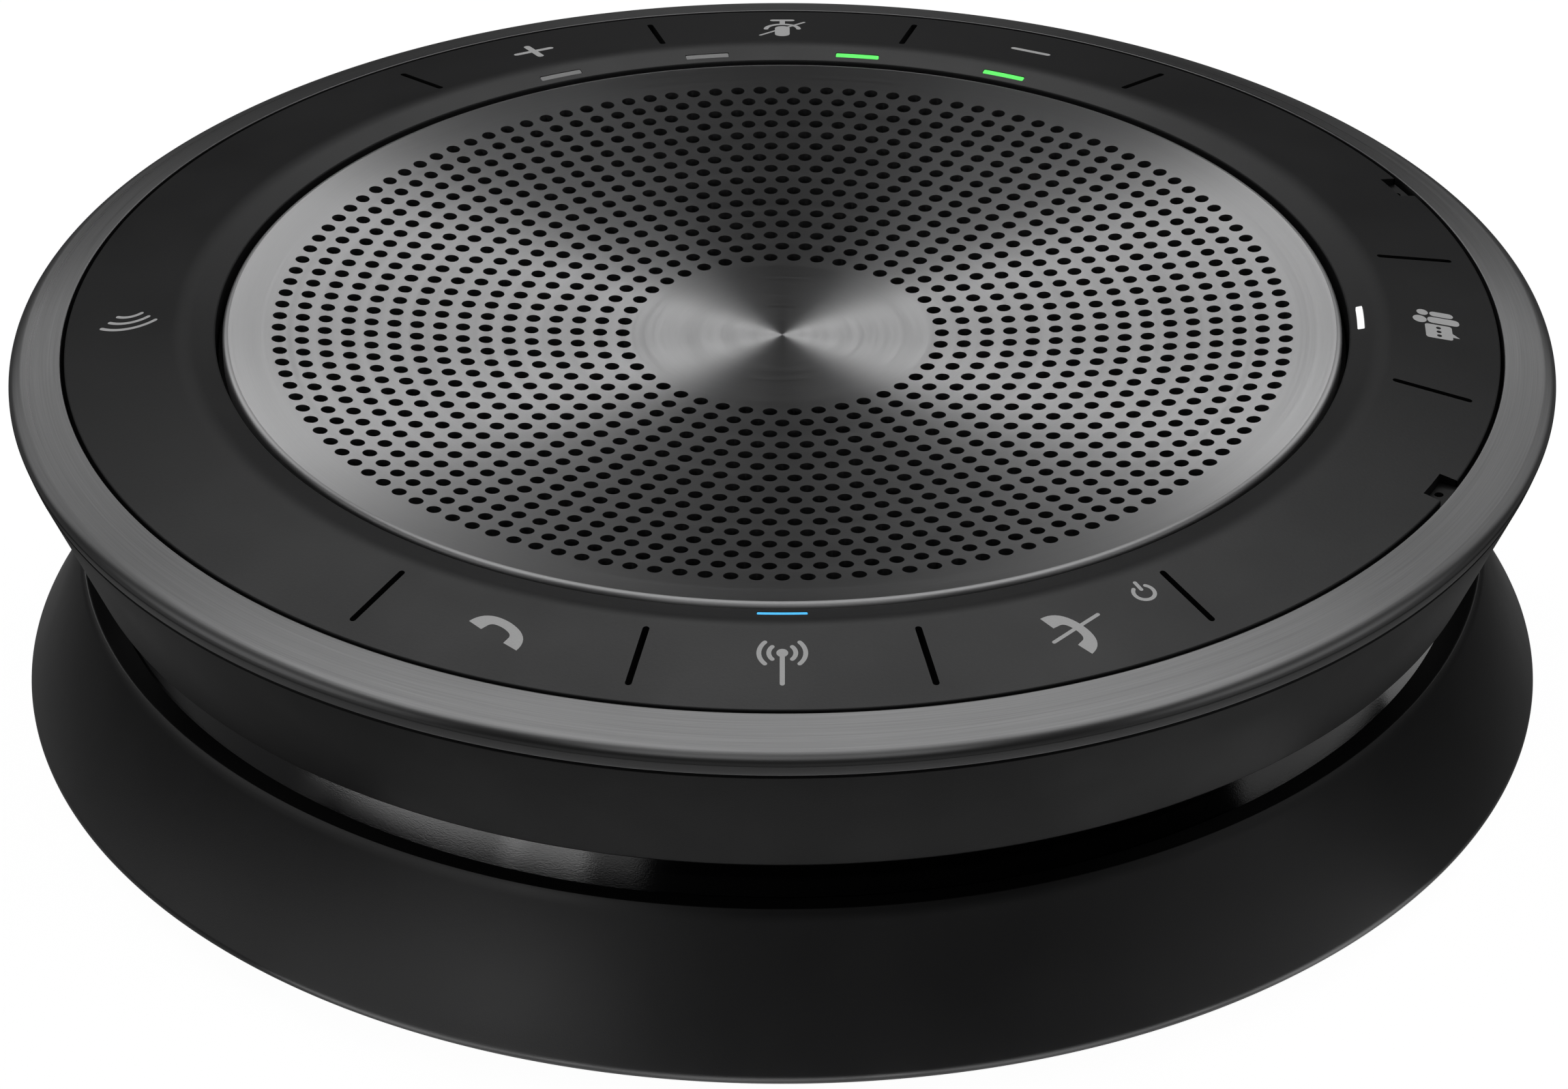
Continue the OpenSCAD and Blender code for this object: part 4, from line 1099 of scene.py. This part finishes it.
def floor():
    """Pale paper for the camera. Reflections see low cards round the base instead."""
    material, tree, shader = new_material("floor_paper")
    place = place_mm(tree)
    tone = spread(tree, noise(tree, place, 0.02, 2.0), 0.3, 0.7, 0.74, 0.76)
    plug(tree, shader.inputs["Base Color"], join(tree, tone, tone, tone))
    plug(tree, shader.inputs["Emission Color"], (1, 1, 1, 1))
    shader.inputs["Emission Strength"].default_value = 0.97
    shader.inputs["Roughness"].default_value = 1.0
    shader.inputs["Specular IOR Level"].default_value = 0.0
    x, y, _ = split(tree, place)
    r = vector(tree, "LENGTH", join(tree, x, y, 0.0))
    a = calc(tree, "MULTIPLY", calc(tree, "ARCTAN2", x, calc(tree, "MULTIPLY", y, -1.0)), math.degrees(1))
    level = 0.0
    for card in CARDS:
        level = calc(tree, "ADD", level, soft_patch(tree, a, r, card))
    glow = tree.nodes.new("ShaderNodeEmission")
    plug(tree, glow.inputs["Strength"], level)
    by_ray(tree, glow.outputs[0], shader.outputs[0], tree.nodes["Material Output"].inputs["Surface"])
    mesh = bpy.data.meshes.new("floor")
    corners = [(x, y, -0.05 * MM) for x, y in ((-4, -4), (4, -4), (4, 4), (-4, 4))]
    mesh.from_pydata(corners, [], [(0, 1, 2, 3)])
    mesh.materials.append(material)
    obj = bpy.data.objects.new("floor", mesh)
    bpy.context.scene.collection.objects.link(obj)


def by_ray(tree, others, camera_rays, target):
    """One shader for the camera and another for every other ray."""
    path = tree.nodes.new("ShaderNodeLightPath")
    mix = tree.nodes.new("ShaderNodeMixShader")
    tree.links.new(path.outputs["Is Camera Ray"], mix.inputs[0])
    tree.links.new(others, mix.inputs[1])
    tree.links.new(camera_rays, mix.inputs[2])
    tree.links.new(mix.outputs[0], target)


PANELS = [
    # azimuth from behind (from, to), softness, elevation (from, to), softness, level
    (-181, 181, 1, 66, 95, 12, 0.04),      # dim ceiling
    (-60, -30, 5, 8, 44, 8, 0.3),          # panel behind, left
    (30, 60, 5, 8, 44, 8, 0.3),            # panel behind, right
    (-125, -80, 14, -5, 30, 12, 0.25),     # side fill, left
    (80, 125, 14, -5, 30, 12, 0.25),       # side fill, right
    (-5, 5, 3, -10, 14, 6, 0.12),          # low fill behind
]
AMBIENT = 0.012


def studio():
    """Soft panels round the unit for its reflections, and plain white behind it for the camera."""
    world = bpy.data.worlds.new("studio")
    bpy.context.scene.world = world
    world.use_nodes = True
    tree = world.node_tree
    back = tree.nodes["Background"]
    coord = tree.nodes.new("ShaderNodeTexCoord")
    x, y, z = split(tree, vector(tree, "NORMALIZE", coord.outputs["Generated"]))
    azimuth = calc(tree, "MULTIPLY", calc(tree, "ARCTAN2", x, y), math.degrees(1))
    elevation = calc(tree, "MULTIPLY", calc(tree, "ARCSINE", z), math.degrees(1))
    total = AMBIENT
    for panel in PANELS:
        total = calc(tree, "ADD", total, soft_patch(tree, azimuth, elevation, panel))
    plug(tree, back.inputs["Color"], join(tree, total, total, total))
    white = tree.nodes.new("ShaderNodeBackground")
    white.inputs["Color"].default_value = (1, 1, 1, 1)
    by_ray(tree, back.outputs[0], white.outputs[0], tree.nodes["World Output"].inputs[0])
    bpy.context.scene.view_settings.view_transform = "Standard"


def area_light(name, place, facing, size, level, receivers):
    """Rectangular light that lights only the given pieces and never shows itself."""
    data = bpy.data.lights.new(name, "AREA")
    data.shape = "RECTANGLE"
    data.size, data.size_y = size
    data.energy = level * math.pi * size[0] * size[1]
    obj = bpy.data.objects.new(name, data)
    bpy.context.scene.collection.objects.link(obj)
    obj.location = place
    obj.rotation_euler = facing
    obj.visible_camera = False
    group = bpy.data.collections.new(name + "_lit")
    for piece in receivers:
        group.objects.link(piece)
    obj.light_linking.receiver_collection = group
    return obj


def softbox(name, azimuth, elevation, width, height, level, receivers):
    """Light one metre off at an azimuth from behind, turned to the middle of the grille."""
    a, e = math.radians(azimuth), math.radians(elevation)
    place = Vector((math.sin(a) * math.cos(e), math.cos(a) * math.cos(e), math.sin(e)))
    facing = (-place).to_track_quat("-Z", "Y").to_euler()
    middle = Vector((0, 0, RIM_TOP * MM))
    area_light(name, middle + place, facing, (width, height), level, receivers)


WAIST_CARDS = [
    # reflectors on the table for the glossy waist: angle, radius, width, depth, level
    (-68, 72, 40, 16, 0.12),
    (-41, 82, 35, 20, 2.6),
    (-25, 83, 12, 20, 2.9),
    (-18, 84, 9, 20, 0.9),
    (66, 75, 35, 18, 0.45),
    (92, 69, 36, 18, 0.5),
]
HEM_CARDS = [(a, 65, 30, 8, 2.4) for a in (-28, -4, 20, 44)]    # for the rounded foot of the base
KEYPAD_BOX = (0, 50, 0.8, 0.35, 1.5)
SKIRT_BOXES = [
    # fills for the flared base: azimuth from behind, elevation, width, height, level
    (-141, 8, 0.38, 0.55, 1.5),
    (-97, 10, 0.9, 0.5, 0.46),
    (97, 10, 0.9, 0.5, 0.12),
    (-42, 12, 0.8, 0.5, 1.1),
    (42, 12, 0.8, 0.5, 0.5),
]


def table_card(name, spot, receivers):
    """Small reflector that lies on the table, faces up and lights only the given pieces."""
    a, r, width, depth, level = spot
    out = around(a) * r * MM
    facing = Euler((math.pi, 0, math.radians(a)))
    light = area_light(name, (*out, MM), facing, (width * MM, depth * MM), level, receivers)
    light.light_linking.blocker_collection = light.light_linking.receiver_collection


def lights(sheet, pads, rim_piece, body_piece, waist_piece, skirt_piece):
    """Softboxes: a pair that fans out over the brushed grille, overheads and small fills below."""
    shells = [rim_piece, body_piece, waist_piece, skirt_piece]
    for side, word in ((-1, "left"), (1, "right")):
        softbox("grille_panel_" + word, side * 28.5, 27, 0.66, 0.6, 0.82, sheet[:1])
        softbox("grille_low_" + word, side * 10, 5, 0.2, 0.25, 3.2, sheet[:1])
        softbox("grille_wide_" + word, side * 48, 42, 0.4, 0.3, 0.6, sheet[:1])
        softbox("edge_panel_" + word, side * 30, 27, 0.66, 0.6, 0.35, sheet[1:])
        softbox("grille_front_" + word, 180 - side * 28.5, 27, 0.66, 0.6, 0.6, sheet[:1])
        softbox("rim_panel_" + word, side * 19, 30, 0.25, 0.4, 0.8, [rim_piece])
    softbox("overhead", 0, 76, 1.4, 0.85, 0.68, shells + sheet[1:])
    softbox("keypad_overhead", 0, 76, 1.2, 0.85, 0.45, pads)
    softbox("keypad_box", *KEYPAD_BOX, pads)
    softbox("front_high", 180, 48, 0.8, 0.4, 0.3, sheet[1:] + pads + shells)
    for k, box in enumerate(SKIRT_BOXES):
        softbox(f"skirt_box_{k}", *box, [skirt_piece])
    for k, spot in enumerate(WAIST_CARDS):
        table_card(f"waist_card_{k}", spot, [waist_piece])
    for k, spot in enumerate(HEM_CARDS):
        table_card(f"hem_card_{k}", spot, [skirt_piece])


def camera():
    data = bpy.data.cameras.new("camera")
    data.lens, data.sensor_width = 133.5, 36.0
    data.shift_x = 0.0011
    data.clip_start = 0.01
    obj = bpy.data.objects.new("camera", data)
    bpy.context.scene.collection.objects.link(obj)
    pitch = 31.05
    obj.location = (0, -0.3961, 0.24985)
    obj.rotation_euler = Euler((math.radians(90 - pitch), 0, 0))
    bpy.context.scene.camera = obj


looks = make_materials()
dress_frame(looks)
sheet = [grille(looks), grille_edge(looks)]
pads = keypad(looks)
shells = [rim(looks), body(looks), waist(looks), skirt(looks)]
web(looks)
pads += windows(looks)
floor()
studio()
lights(sheet, pads, *shells)
camera()
